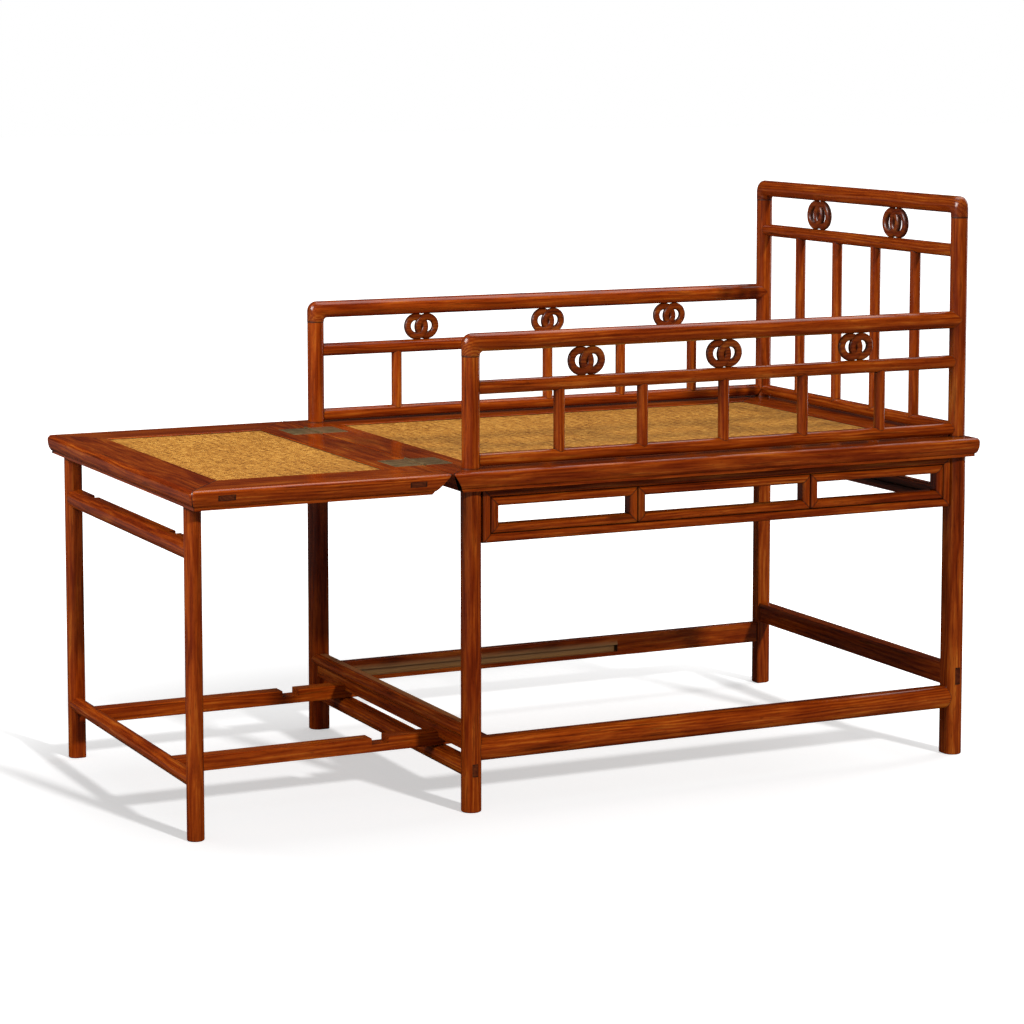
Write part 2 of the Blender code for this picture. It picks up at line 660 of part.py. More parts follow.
def runner(side, sign, slide, low_rail_cutter):
    """A long runner from the stand's low rail to the cross-bar, with a half-depth notch in its top."""
    y = sign * RUNNER_SPAN_Y / 2
    end = FRONT_LEG_X + CROSSBAR_SETBACK - CROSSBAR_WIDTH / 2 - FIT
    shape = block((end - STAND_X, RUNNER_WIDTH, RUNNER_HEIGHT))
    made = piece(f"{side}_runner", shape, ((STAND_X + end) / 2, y, RUNNER_Z), slide)
    notch = block((RUNNER_NOTCH_LENGTH, RUNNER_WIDTH + PAST, 2 * RUNNER_NOTCH_DEPTH))
    at = (FRONT_LEG_X - RUNNER_NOTCH_REACH, y, RUNNER_Z + RUNNER_HEIGHT / 2)
    return combine(made, [low_rail_cutter, cutter(f"{side}_runner_notch", notch, at)])


def runner_window(side, sign):
    """The running clearance of a runner between the front stretchers."""
    clear = 2 * SLIDE_CLEARANCE
    shape = block((2 * (BEAD_FRONT + PAST), RUNNER_WIDTH + clear, RUNNER_HEIGHT + clear))
    return cutter(f"{side}_runner_window", shape, (FRONT_LEG_X, sign * RUNNER_SPAN_Y / 2, RUNNER_Z))


def runner_crossbar(slide):
    """The bar that joins the runners behind the front stretchers, with a tongue at each end for a groove."""
    half = LEG_Y - STRETCHER_DEPTH / 2 - SLIDE_CLEARANCE
    tip, tall, tongue = half + TONGUE_LENGTH, RUNNER_HEIGHT / 2, TONGUE_HEIGHT / 2
    upper = [(tip, -tongue), (tip, tongue), (half, tongue), (half, tall)]
    outline = [(half, -tall), (half, -tongue)] + upper
    outline += [(-y, -z) for y, z in outline]
    rings = [[(x, y, z) for y, z in outline] for x in (-CROSSBAR_WIDTH / 2, CROSSBAR_WIDTH / 2)]
    return piece("runner_crossbar", loft(rings), (FRONT_LEG_X + CROSSBAR_SETBACK, 0, RUNNER_Z), slide)


def build_leg_stand():
    slide = carrier("leg_stand_slide", (STAND_X, 0, RUNNER_Z))
    legs = [stand_leg(side, sign, slide) for side, sign in SIDES.items()]
    leg_cutters = [fitted for _, fitted in legs]
    stand_top_rail(slide, leg_cutters)
    at = (STAND_X, 0, STAND_LOW_RAIL_Z)
    radius = STAND_LOW_RAIL_DIAMETER / 2
    low_rail = piece("stand_low_rail", rod(radius, STAND_SPAN_Y, "Y", RAIL_SIDES), at, slide)
    combine(low_rail, leg_cutters)
    low_cutter = cutter("stand_low_rail_cutter", rod(radius + FIT, STAND_SPAN_Y, "Y", RAIL_SIDES), at)
    for side, sign in SIDES.items():
        runner(side, sign, slide, low_cutter)
    runner_crossbar(slide)


def build_seat(leg_cutters, joint_gap, pockets):
    widths = {"front": END_RAIL_WIDTH, "back": BACK_RAIL_WIDTH, "side": SIDE_RAIL_WIDTH}
    moulded = {"front": False, "back": True, "side": True}
    rails = frame_rails("seat", HINGE_X, SEAT_BACK_X, widths, moulded)
    for name in ("left", "right"):
        combine(rails[name], [leg_cutters["front_" + name], leg_cutters["back_" + name], joint_gap])
    combine(rails["front"], [leg_cutters["front_left"], leg_cutters["front_right"], joint_gap, *pockets])
    combine(rails["back"], [leg_cutters["back_left"], leg_cutters["back_right"]])
    caned_mat("seat_mat", HINGE_X, SEAT_BACK_X, widths)
    inner_low, inner_high = HINGE_X + END_RAIL_WIDTH, SEAT_BACK_X - BACK_RAIL_WIDTH
    for i in range(1, SEAT_BRACES + 1):
        cross_brace(f"seat_brace_{i}", inner_low + (inner_high - inner_low) * i / (SEAT_BRACES + 1))


def build_leg_rest(rest_hinge, joint_gap, pockets):
    widths = {"front": END_RAIL_WIDTH, "back": END_RAIL_WIDTH, "side": SIDE_RAIL_WIDTH}
    moulded = {"front": True, "back": False, "side": True}
    rails = frame_rails("rest", REST_FRONT_X, HINGE_X, widths, moulded, rest_hinge)
    for name in ("left", "right"):
        combine(rails[name], [joint_gap])
    combine(rails["back"], [joint_gap, *pockets])
    caned_mat("rest_mat", REST_FRONT_X, HINGE_X, widths, rest_hinge)
    cross_brace("rest_brace", (REST_FRONT_X + HINGE_X) / 2, rest_hinge)


def build_arm(side, sign, leg_cutters):
    posts = [leg_cutters["front_" + side], leg_cutters["back_" + side]]
    arm_rail(side, sign, leg_cutters["back_" + side])
    at = (MIDDLE_X, sign * LEG_Y, ARM_RAIL_Z)
    top_cutter = rail_cutter(f"{side}_arm_rail", ARM_RAIL_DIAMETER, LEG_SPAN_X, "X", at)
    at = (MIDDLE_X, sign * LEG_Y, ARM_MID_Z)
    _, mid_cutter = round_rail(f"{side}_arm_mid_rail", MID_RAIL_DIAMETER, LEG_SPAN_X, "X", at, posts)
    arm_grille(side, sign, posts, mid_cutter)
    low, high = ARM_MID_Z + MID_RAIL_DIAMETER / 2, ARM_RAIL_Z - ARM_RAIL_DIAMETER / 2
    rails = [mid_cutter, top_cutter]
    for i, x in enumerate(spaced(ARM_RINGS, ARM_RING_PITCH), 1):
        double_ring(f"{side}_arm_ring_{i}", low, high, MIDDLE_X + x, sign * LEG_Y, True, rails)


def build_back(leg_cutters):
    posts = [leg_cutters["back_left"], leg_cutters["back_right"]]
    crest_rail()
    top_cutter = rail_cutter("crest_rail", CREST_DIAMETER, LEG_SPAN_Y, "Y", (BACK_LEG_X, 0, CREST_Z))
    fitted = []
    for name, diameter, z in (("mid", MID_RAIL_DIAMETER, BACK_MID_Z), ("low", LOW_RAIL_DIAMETER, LOW_RAIL_Z)):
        at = (BACK_LEG_X, 0, z)
        fitted.append(round_rail(f"back_{name}_rail", diameter, LEG_SPAN_Y, "Y", at, posts)[1])
    length = BACK_MID_Z - LOW_RAIL_Z
    for i, y in enumerate(spaced(BACK_BARS, BACK_BAR_PITCH), 1):
        bar = rod(BAR_DIAMETER / 2, length, "Z", BAR_SIDES)
        combine(piece(f"back_bar_{i}", bar, (BACK_LEG_X, y, LOW_RAIL_Z + length / 2)), fitted)
    low, high = BACK_MID_Z + MID_RAIL_DIAMETER / 2, CREST_Z - CREST_DIAMETER / 2
    for i, y in enumerate(spaced(BACK_RINGS, BACK_RING_PITCH), 1):
        double_ring(f"back_ring_{i}", low, high, BACK_LEG_X, y, False, [fitted[0], top_cutter])


def build_legs():
    """The four legs with their posts, and their cutters by name."""
    fitted = {}
    arm_seam = ARM_RAIL_Z - ARM_RAIL_DIAMETER / 2 - CORNER_DROP
    crest_seam = CREST_Z - CREST_DIAMETER / 2 - CORNER_DROP
    for end, x, top in (("front", FRONT_LEG_X, arm_seam), ("back", BACK_LEG_X, crest_seam)):
        for side, sign in SIDES.items():
            _, fitted[f"{end}_{side}"] = chair_leg(f"{end}_{side}_leg", x, sign * LEG_Y, top)
    return fitted


def build_stretchers(leg_cutters):
    for side, sign in SIDES.items():
        side_stretcher(side, sign, [leg_cutters["front_" + side], leg_cutters["back_" + side]])
    back_stretcher([leg_cutters["back_left"], leg_cutters["back_right"]])
    windows = [runner_window(side, sign) for side, sign in SIDES.items()]
    front_stretchers([leg_cutters["front_left"], leg_cutters["front_right"]], windows)


def main():
    leg_cutters = build_legs()
    rest_hinge = carrier("leg_rest_hinge", (HINGE_X, 0, SEAT_TOP))
    joint_gap = hinge_joint()
    pockets = [hinge_pocket(side, sign * HINGE_SPAN_Y / 2) for side, sign in SIDES.items()]
    build_seat(leg_cutters, joint_gap, pockets)
    build_leg_rest(rest_hinge, joint_gap, pockets)
    for side, sign in SIDES.items():
        build_arm(side, sign, leg_cutters)
        side_apron(side, sign, [leg_cutters["front_" + side], leg_cutters["back_" + side]])
        hinge(side, sign, rest_hinge)
    build_back(leg_cutters)
    back_apron([leg_cutters["back_left"], leg_cutters["back_right"]])
    build_stretchers(leg_cutters)
    build_leg_stand()


main()
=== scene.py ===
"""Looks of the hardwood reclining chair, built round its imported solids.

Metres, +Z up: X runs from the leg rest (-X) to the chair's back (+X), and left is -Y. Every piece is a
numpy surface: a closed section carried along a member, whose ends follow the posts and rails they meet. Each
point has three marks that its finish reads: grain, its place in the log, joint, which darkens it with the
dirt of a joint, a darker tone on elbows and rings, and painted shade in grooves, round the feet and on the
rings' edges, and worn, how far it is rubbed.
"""

import json
import math
from collections import namedtuple

import bpy
import numpy as np
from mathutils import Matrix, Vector

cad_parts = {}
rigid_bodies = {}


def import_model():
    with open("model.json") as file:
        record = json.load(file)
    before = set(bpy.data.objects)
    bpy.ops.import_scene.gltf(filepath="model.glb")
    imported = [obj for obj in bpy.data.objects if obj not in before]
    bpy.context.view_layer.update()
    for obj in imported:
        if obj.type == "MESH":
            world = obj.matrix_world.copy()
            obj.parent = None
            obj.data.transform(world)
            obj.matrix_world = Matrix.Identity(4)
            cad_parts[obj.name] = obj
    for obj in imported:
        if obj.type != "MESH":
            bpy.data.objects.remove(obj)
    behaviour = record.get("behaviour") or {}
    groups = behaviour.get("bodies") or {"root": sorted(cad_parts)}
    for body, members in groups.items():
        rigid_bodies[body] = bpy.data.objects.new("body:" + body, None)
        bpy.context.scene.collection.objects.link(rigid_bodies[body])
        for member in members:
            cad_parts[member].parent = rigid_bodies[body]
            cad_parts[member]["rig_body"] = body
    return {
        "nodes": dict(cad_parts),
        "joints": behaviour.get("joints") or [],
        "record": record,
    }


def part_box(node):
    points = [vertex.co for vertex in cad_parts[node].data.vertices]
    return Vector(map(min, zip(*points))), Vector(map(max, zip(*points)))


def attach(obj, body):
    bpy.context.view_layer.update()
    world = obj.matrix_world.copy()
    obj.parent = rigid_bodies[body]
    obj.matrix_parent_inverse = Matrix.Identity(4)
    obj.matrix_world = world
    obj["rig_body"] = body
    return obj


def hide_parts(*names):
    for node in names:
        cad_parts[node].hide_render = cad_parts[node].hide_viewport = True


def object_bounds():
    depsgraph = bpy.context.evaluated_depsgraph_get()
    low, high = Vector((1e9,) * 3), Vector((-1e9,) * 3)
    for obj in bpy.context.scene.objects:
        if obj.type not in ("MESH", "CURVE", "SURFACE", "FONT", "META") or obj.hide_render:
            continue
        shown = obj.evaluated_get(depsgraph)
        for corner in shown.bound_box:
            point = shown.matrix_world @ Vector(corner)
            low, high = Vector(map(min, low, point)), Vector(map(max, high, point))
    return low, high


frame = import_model()
CAD_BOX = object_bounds()
JOINTS = {joint["name"]: joint for joint in frame["joints"]}
SLOTS = {row["node"]: row["material_slot"] for row in frame["record"]["subparts"]}
SIDES = {"left": -1, "right": 1}

# The photograph's frame and the camera that fits it
IMAGE = 1024
FOCAL_PIXELS = 3008.4
CAMERA_YAW = math.radians(25.69)
CAMERA_PITCH = math.radians(6.0)
CAMERA_FROM_FRONT_LEGS = Vector((-1.8118, -4.2014, 1.1174))
CAMERA_SHIFT = -0.15
SENSOR = 36.0

# Finish of the sections
AROUND = 48
SHARP_ANGLE = math.radians(32)
SEAM = 0.00025  # the fine gap where two pieces meet
JOINT_FADE = 0.0014  # how far the dirt of a joint reaches along a piece
POST_RADIUS = 0.01325

# The moulded edge of the seat and leg rest, as in the solids
EDGE_ROUND = 0.007
EDGE_TUCK = 0.008
EDGE_BEAD = 0.0045
EDGE_STEP = 0.0015  # the longest step round its outline
LIP_WIDTH = 0.012
ARRIS = 0.0008
RAIL_WIDTHS = {"side": 0.0885, "front": 0.070, "back": 0.0905}
SEAT_BEVEL = math.radians(32)
REST_BEVEL = math.radians(45)
JOINT_HALF_GAP = 0.0006
PLAN_ROUND = 0.008  # outer corners of the seat and leg rest, seen from above


def placed(part):
    """The middle of a CAD node's box, and half its sides."""
    low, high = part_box(part)
    return (low + high) / 2, (high - low) / 2


def centre(part):
    return placed(part)[0]


def half_size(part):
    return placed(part)[1]


FRONT_X = centre("front_left_leg").x
BACK_X = centre("back_left_leg").x
MIDDLE_X = (FRONT_X + BACK_X) / 2
LEG_SPAN = BACK_X - FRONT_X
LEG_Y = centre("front_right_leg").y
LEG_RADIUS = half_size("front_left_leg").y
STAND_Y = centre("stand_right_leg").y
STAND_RADIUS = half_size("stand_right_leg").y
SEAT_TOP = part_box("seat_back_rail")[1].z
SEAT_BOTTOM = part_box("seat_back_rail")[0].z
SEAT_EDGE_Y = CAD_BOX[1][1]
SEAT_BACK_X = CAD_BOX[1][0]
REST_FRONT_X = CAD_BOX[0][0]
HINGE_X = JOINTS["leg_rest_hinge"]["pos_m"][0]
THICK = SEAT_TOP - SEAT_BOTTOM
LIP_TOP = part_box("seat_mat")[0].z - SEAT_BOTTOM
ARM_RADIUS = half_size("left_arm_rail").y
ARM_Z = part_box("left_arm_rail")[1].z - ARM_RADIUS
CREST_RADIUS = half_size("crest_rail").x
CREST_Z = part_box("crest_rail")[1].z - CREST_RADIUS
MID_RADIUS = half_size("left_arm_mid_rail").y
ARM_MID_Z = centre("left_arm_mid_rail").z
BACK_MID_Z = centre("back_mid_rail").z
LOW_RADIUS = half_size("back_low_rail").x
LOW_Z = centre("back_low_rail").z


# Sections and surfaces


def columns(*parts):
    """Points from the arrays of their coordinates."""
    return np.stack(parts, axis=-1)


def angles(count):
    """Evenly spaced angles round a circle."""
    return np.linspace(0, 2 * np.pi, count, endpoint=False)


def arc(middle, reach, start, end, steps):
    """Points on an ellipse: middle + reach * (cos, sin) of evenly spaced angles in degrees."""
    turn = np.radians(np.linspace(start, end, steps + 1))
    return columns(middle[0] + reach[0] * np.cos(turn), middle[1] + reach[1] * np.sin(turn))


def circle(radius, count=AROUND):
    """A closed round section: radius * (cos, sin) of evenly spaced angles."""
    turn = angles(count)
    return radius * columns(np.cos(turn), np.sin(turn))


def unit(vectors):
    """Vectors divided by their lengths."""
    return vectors / np.linalg.norm(vectors, axis=1, keepdims=True)


def filleted(corners, radius, steps=4):
    """A polygon with each corner turned into an arc.

    The arc's centre lies radius / sin(half the corner's angle) along the corner's bisector, and its points
    are the two tangent radii blended by sines of the angle between them.
    """
    corners = np.asarray(corners, float)
    radius = np.broadcast_to(np.asarray(radius, float), len(corners))[:, None]
    to_last = unit(np.roll(corners, 1, axis=0) - corners)
    to_next = unit(np.roll(corners, -1, axis=0) - corners)
    half = np.arccos(np.clip((to_last * to_next).sum(axis=1, keepdims=True), -1, 1)) / 2
    middle = corners + unit(to_last + to_next) * radius / np.sin(half)
    first = corners + to_last * radius / np.tan(half) - middle
    last = corners + to_next * radius / np.tan(half) - middle
    share = np.linspace(0, 1, steps + 1)[None, :, None]
    spread = (np.pi - 2 * half)[:, None]
    blend = first[:, None] * np.sin((1 - share) * spread) + last[:, None] * np.sin(share * spread)
    return (middle[:, None] + blend / np.sin(spread)).reshape(-1, 2)


def eased_box(half_width, half_height, ease):
    """A rectangular section with its corners rounded."""
    corners = np.array([(1, 1), (-1, 1), (-1, -1), (1, -1)]) * (half_width, half_height)
    return filleted(corners, ease)


def densified(section, step):
    """The same closed outline with extra points, none further apart along it than the step."""
    ring = np.vstack([section, section[:1]])
    run = np.r_[0, np.cumsum(np.linalg.norm(np.diff(ring, axis=0), axis=1))]
    places = np.unique(np.r_[run, np.arange(0, run[-1], step)])[:-1]
    return columns(np.interp(places, run, ring[:, 0]), np.interp(places, run, ring[:, 1]))


# A surface: its points, its faces, its dirt and painted shade per point and the axis that its grain runs
# along
Shell = namedtuple("Shell", "points quads triangles soot axis")
NO_TRIANGLES = np.empty((0, 3), int)

# How a member's own (along, across, up) falls on X, Y and Z
ORDERS = {"X": (0, 1, 2), "Y": (1, 0, 2), "Z": (2, 0, 1)}


def outward(points, quads, triangles):
    """Turns the faces round where the signed volume, a sum of triple products, is negative."""
    flat = np.concatenate([triangles, quads[:, [0, 1, 2]], quads[:, [0, 2, 3]]])
    a, b, c = (points[flat[:, i]] for i in range(3))
    if (a * np.cross(b, c)).sum() < 0:
        return quads[:, ::-1], triangles[:, ::-1]
    return quads, triangles


def solid(rings, axis, soot=0.0, closed=False):
    """A surface through rings (steps, points, 3), with its dirt and painted shade given once, per ring or
    per point.

    It closes on its first ring, as a torus does, or has a fan about the mean of its ring at each end.
    """
    steps, count = rings.shape[:2]
    soot = np.asarray(soot, float)
    soot = np.broadcast_to(soot[:, None] if soot.ndim == 1 else soot, (steps, count)).ravel()
    here = np.arange(count)
    there = (here + 1) % count
    row = np.arange(steps if closed else steps - 1)[:, None] * count
    after = (row + count) % (steps * count)
    quads = columns(row + here, row + there, after + there, after + here).reshape(-1, 4)
    points, fans = rings.reshape(-1, 3), NO_TRIANGLES
    if not closed:
        points = np.vstack([points, rings[:1].mean(axis=1), rings[-1:].mean(axis=1)])
        soot = np.r_[soot, soot[0], soot[-1]]
        top, tip = (steps - 1) * count, np.full(count, steps * count)
        fans = np.vstack([columns(there, here, tip), columns(here + top, there + top, tip + 1)])
    return Shell(points, *outward(points, quads, fans), soot, axis)


def carried(rows, axis, at):
    """Rings along an axis from rows of (places along it, section). Places may differ per point."""
    rings = np.empty((len(rows), len(rows[0][1]), 3))
    along, across, up = ORDERS[axis]
    for ring, (places, section) in zip(rings, rows):
        ring[:, along] = places
        ring[:, across] = section[:, 0]
        ring[:, up] = section[:, 1]
    return rings + np.asarray(at)


def member(rows, axis, at):
    """A capped member through rows of (places along it, section), with dirt in the joints at its two ends.

    A copy of each end's ring, JOINT_FADE further in, keeps the dirt to the joint.
    """
    (start, first), (end, last) = rows[0], rows[-1]
    way = np.sign(np.mean(end) - np.mean(start)) * JOINT_FADE
    rows = [rows[0], (start + way, first), *rows[1:-1], (end - way, last), rows[-1]]
    soot = np.zeros(len(rows))
    soot[[0, -1]] = 1
    return solid(carried(rows, axis, at), axis, soot)


def spanning(ends, section, axis, at, cut=None, notches=()):
    """A member from -ends to ends. Between the two places of each notch it has the cut section."""
    rows = [(-ends, section)]
    for start, end in notches:
        rows += [(start, section), (start, cut), (end, cut), (end, section)]
    return member([*rows, (ends, section)], axis, at)


def saddle(offset, radius):
    """How far a round member reaches at an offset from its axis: the root of radius^2 - offset^2."""
    return np.sqrt(np.maximum(radius**2 - offset**2, 0))


def leg_face(offset, inner_side, radius=LEG_RADIUS):
    """How far a leg reaches at an offset from its axis: flat on its inner side, round on its outer."""
    return np.where(offset * inner_side > 0, radius, saddle(offset, radius))


# Finishes


def feed(made, inputs):
    """Links a node's inputs or gives them a value."""
    for key, value in inputs.items():
        value = getattr(value, "socket", value)
        if isinstance(value, bpy.types.NodeSocket):
            made.id_data.links.new(value, made.inputs[key])
        else:
            made.inputs[key].default_value = value
    return made


def node(tree, kind, inputs=None, **settings):
    made = tree.nodes.new("ShaderNode" + kind)
    for key, value in settings.items():
        setattr(made, key, value)
    return feed(made, inputs or {})


class Value:
    """A number that changes over a surface. Its sums and products are Math nodes in its own tree."""

    def __init__(self, socket):
        self.socket = socket

    def maths(self, operation, *others, clamp=False):
        inputs = dict(enumerate((self, *others)))
        made = node(self.socket.id_data, "Math", inputs, operation=operation, use_clamp=clamp)
        return Value(made.outputs[0])

    def __add__(self, other):
        return self.maths("ADD", other)

    def __sub__(self, other):
        return self.maths("SUBTRACT", other)

    def __mul__(self, other):
        return self.maths("MULTIPLY", other)

    def above(self, start, slope=1.0):
        """slope * (value - start), kept between 0 and 1."""
        return self.maths("MULTIPLY_ADD", slope, -start * slope, clamp=True)

    def left_over(self):
        """1 - value."""
        return self.maths("MULTIPLY_ADD", -1.0, 1.0)

    def mixed(self, first, second):
        """First where the value is 0, second where it is 1."""
        return self.left_over() * first + self * second


def scaled(vector, scale):
    inputs = {0: vector, 1: scale}
    return node(vector.id_data, "VectorMath", inputs, operation="MULTIPLY").outputs[0]


def length(vector):
    return Value(node(vector.id_data, "VectorMath", {0: vector}, operation="LENGTH").outputs["Value"])


def noise(vector, stretch, detail=2.0, rough=0.5, distortion=0.0, output="Fac"):
    """Noise over a vector times three factors, in cells per metre."""
    inputs = {"Vector": scaled(vector, stretch), "Scale": 1.0}
    inputs.update({"Detail": detail, "Roughness": rough, "Distortion": distortion})
    return Value(node(vector.id_data, "TexNoise", inputs).outputs[output])


def ramp(value, stops):
    """A colour ramp through (place, colour) stops."""
    made = node(value.socket.id_data, "ValToRGB", {"Fac": value})
    elements = made.color_ramp.elements
    while len(elements) < len(stops):
        elements.new(0.5)
    for element, (place, colour) in zip(elements, stops):
        element.position = place
        element.color = (*colour, 1)
    return made.outputs["Color"]


def blended(share, first, second):
    inputs = {0: share, 6: first, 7: second}
    return node(share.socket.id_data, "Mix", inputs, data_type="RGBA").outputs[2]


def group(name, inputs, outputs):
    """A node group with named sockets, its input node's sockets and its output node."""
    tree = bpy.data.node_groups.new(name, "ShaderNodeTree")
    for way, sockets in (("INPUT", inputs), ("OUTPUT", outputs)):
        for socket, kind in sockets.items():
            tree.interface.new_socket(socket, in_out=way, socket_type="NodeSocket" + kind)
    return tree, tree.nodes.new("NodeGroupInput").outputs, tree.nodes.new("NodeGroupOutput")


WOOD_TONES = (
    (0.0, (0.050, 0.0045, 0.0004)),
    (0.33, (0.140, 0.0150, 0.0008)),
    (0.60, (0.250, 0.0390, 0.0021)),
    (1.0, (0.480, 0.1400, 0.0140)),
)
WOOD_STREAK = (0.030, 0.0035, 0.0007, 1)
WORN_WOOD = (0.240, 0.107, 0.034, 1)
RUBBED_WOOD = (0.520, 0.275, 0.100, 1)
# near black, for the dirt of joints and for painted shade
DIRT_AND_SHADE_COLOUR = (0.010, 0.0040, 0.0020, 1)
WOOD_DIRT_AND_SHADE_COVER = 0.88
CANE_DIRT_COVER = 0.92
LAYERS = 1100.0  # turns of the growth layers' sine, in radians per metre from the pith
LAYER_BEND = 34.0
CANE_PITCH = 0.0040
CANE_PUSH = 1.9  # how far, in strands, a strand runs out of line
CANE_TONES = (
    (0.0, (0.130, 0.043, 0.004)),
    (0.33, (0.265, 0.099, 0.012)),
    (0.62, (0.415, 0.180, 0.025)),
    (1.0, (0.610, 0.326, 0.068)),
)
BRASS_TONES = (
    (0.2, (0.085, 0.050, 0.020)),
    (0.5, (0.170, 0.112, 0.050)),
    (0.8, (0.270, 0.190, 0.090)),
)


def hardwood_grain():
    """A red-brown hardwood, from a piece's (along, across, up) in metres.

    Layers are a sine of the distance from a far pith, bent by a slow noise. Fibres are a noise stretched
    along the piece, streaks and pores are the peaks of two others, and a slow noise drifts the tone.
    """
    tree, given, out = group("hardwood_grain", {"Grain": "Vector"}, {"Color": "Color", "Fibre": "Float"})
    grain = given["Grain"]
    drift = noise(grain, (3.0, 30.0, 30.0), detail=3.0)
    layers = length(scaled(grain, (0.03, 1.0, 1.0))) * LAYERS + drift * LAYER_BEND
    band = layers.maths("SINE") * 0.5 + 0.5
    fibre = noise(grain, (14.0, 420.0, 420.0), detail=5.0, rough=0.65)
    cloud = noise(grain, (6.0, 24.0, 24.0), detail=3.0, rough=0.6)
    streak = noise(grain, (7.0, 150.0, 150.0), detail=4.0, rough=0.7, distortion=0.4)
    pore = noise(grain, (90.0, 1300.0, 1300.0), detail=1.0)
    colour = ramp((band * 0.20 + fibre * 0.85 + cloud * 0.85).above(0.45), WOOD_TONES)
    colour = blended(streak.above(0.555, 7.0) * 0.70, colour, WOOD_STREAK)
    colour = blended(pore.above(0.58, 6.0) * 0.55, colour, WOOD_STREAK)
    feed(out, {"Color": colour, "Fibre": fibre})
    return tree


def cane_weave():
    """A zigzag twill of flat strands, from Object coordinates, pushed out of line by a slow noise.

    With u and v the coordinates in strands, v folds back and forth over four strands, and the strand along X
    is on top where floor(u) + folded floor(v), modulo 4, is below 2. A strand's crown is 1 - (2 fract - 1)^2
    across it; it also lightens the colour, a painted shade towards each strand's edges, and a noise per
    strand and along it varies its colour.
    """
    tree, given, out = group("cane_weave", {"Vector": "Vector"}, {"Color": "Color", "Height": "Float"})
    place = given["Vector"]
    push = noise(place, (110.0, 110.0, 1.0), output="Color").socket
    inputs = {0: scaled(place, (1 / CANE_PITCH,) * 3), 1: scaled(push, (CANE_PUSH,) * 3)}
    pushed = node(tree, "VectorMath", inputs, operation="ADD").outputs[0]
    split = node(tree, "SeparateXYZ", {0: pushed}).outputs
    cells, crowns = [], []
    for across in (Value(split["X"]), Value(split["Y"])):
        cells.append(across.maths("FLOOR"))
        from_middle = (across - cells[-1]) * 2.0 - 1.0
        crowns.append(from_middle.maths("ABSOLUTE").maths("POWER", 2.0).left_over())
    folded = (cells[1].maths("FLOORED_MODULO", 4.0) - 2.0).maths("ABSOLUTE")
    over = (cells[0] + folded).maths("FLOORED_MODULO", 4.0).maths("LESS_THAN", 1.5)
    height = over.mixed(*crowns)
    along_x = noise(place, (70.0, 300.0, 1.0), detail=3.0, rough=0.6)
    along_y = noise(place, (300.0, 50.0, 1.0), detail=3.0, rough=0.6)
    patch = noise(place, (7.0, 7.0, 1.0), detail=4.0)
    # the crown term is painted shade, darker towards each strand's edges
    tone = over.mixed(along_y, along_x) * 2.3 + patch * 0.3 + height * 0.28 + over * 0.14
    feed(out, {"Color": ramp(tone.above(1.06), CANE_TONES), "Height": height})
    return tree


def brass_patina():
    """Dull brass: a broad noise for its brown bloom and a fine one for scuffs."""
    tree, given, out = group("brass_patina", {"Vector": "Vector"}, {"Color": "Color", "Roughness": "Float"})
    bloom = noise(given["Vector"], (90.0,) * 3, detail=4.0, rough=0.6)
    scuff = noise(given["Vector"], (900.0, 160.0, 160.0))
    feed(out, {"Color": ramp(bloom, BRASS_TONES), "Roughness": scuff * 0.25 + 0.22})
    return tree


def dirt_and_shade_darkening():
    """Dirt and painted shade: a colour gives way to near black by the joint mark times the cover."""
    inputs = {"Color": "Color", "Joint": "Float", "Cover": "Float"}
    tree, given, out = group("dirt_and_shade_darkening", inputs, {"Color": "Color"})
    share = Value(given["Joint"]) * given["Cover"]
    feed(out, {"Color": blended(share, given["Color"], DIRT_AND_SHADE_COLOUR)})
    return tree


def new_finish(name):
    finish = bpy.data.materials.new(name)
    finish.use_nodes = True
    return finish, finish.node_tree, finish.node_tree.nodes["Principled BSDF"]


def mark(tree, name):
    """A mark that each point of a piece has of its own."""
    return Value(node(tree, "Attribute", attribute_name=name).outputs["Fac"])


def darkened_by_dirt_and_shade(tree, colour, joint, cover):
    inputs = {"Color": colour, "Joint": joint, "Cover": cover}
    return node(tree, "Group", inputs, node_tree=DIRT_AND_SHADE_GROUP).outputs["Color"]


def wood_finish():
    """Polished hardwood, dull gold where the worn mark is and dark with dirt and painted shade where the
    joint mark is.
    """
    finish, tree, shader = new_finish("polished_hardwood")
    grain = node(tree, "Attribute", attribute_name="grain").outputs["Vector"]
    worn, joint = mark(tree, "worn"), mark(tree, "joint")
    wood = node(tree, "Group", {"Grain": grain}, node_tree=hardwood_grain()).outputs
    fibre = Value(wood["Fibre"])
    colour = blended(worn, wood["Color"], blended(fibre, WORN_WOOD, RUBBED_WOOD))
    bump = node(tree, "Bump", {"Strength": 0.12, "Distance": 0.0004, "Height": fibre})
    feed(shader, {
        "Base Color": darkened_by_dirt_and_shade(tree, colour, joint, WOOD_DIRT_AND_SHADE_COVER),
        "Roughness": fibre * 0.12 + 0.13 + worn.maths("MAXIMUM", joint) * 0.3,
        "Normal": bump.outputs["Normal"],
        "Specular IOR Level": 0.45,
        "Coat Weight": 0.06,
        "Coat Roughness": 0.12,
    })
    return finish


def cane_finish():
    """Golden cane, dark with dirt where the joint mark runs round its edge."""
    finish, tree, shader = new_finish("woven_cane")
    place = node(tree, "TexCoord").outputs["Object"]
    weave = node(tree, "Group", {"Vector": place}, node_tree=cane_weave()).outputs
    bump = node(tree, "Bump", {"Strength": 0.7, "Distance": 0.0007, "Height": weave["Height"]})
    feed(shader, {
        "Base Color": darkened_by_dirt_and_shade(tree, weave["Color"], mark(tree, "joint"), CANE_DIRT_COVER),
        "Normal": bump.outputs["Normal"],
        "Roughness": 0.6,
        "Specular IOR Level": 0.2,
    })
    return finish


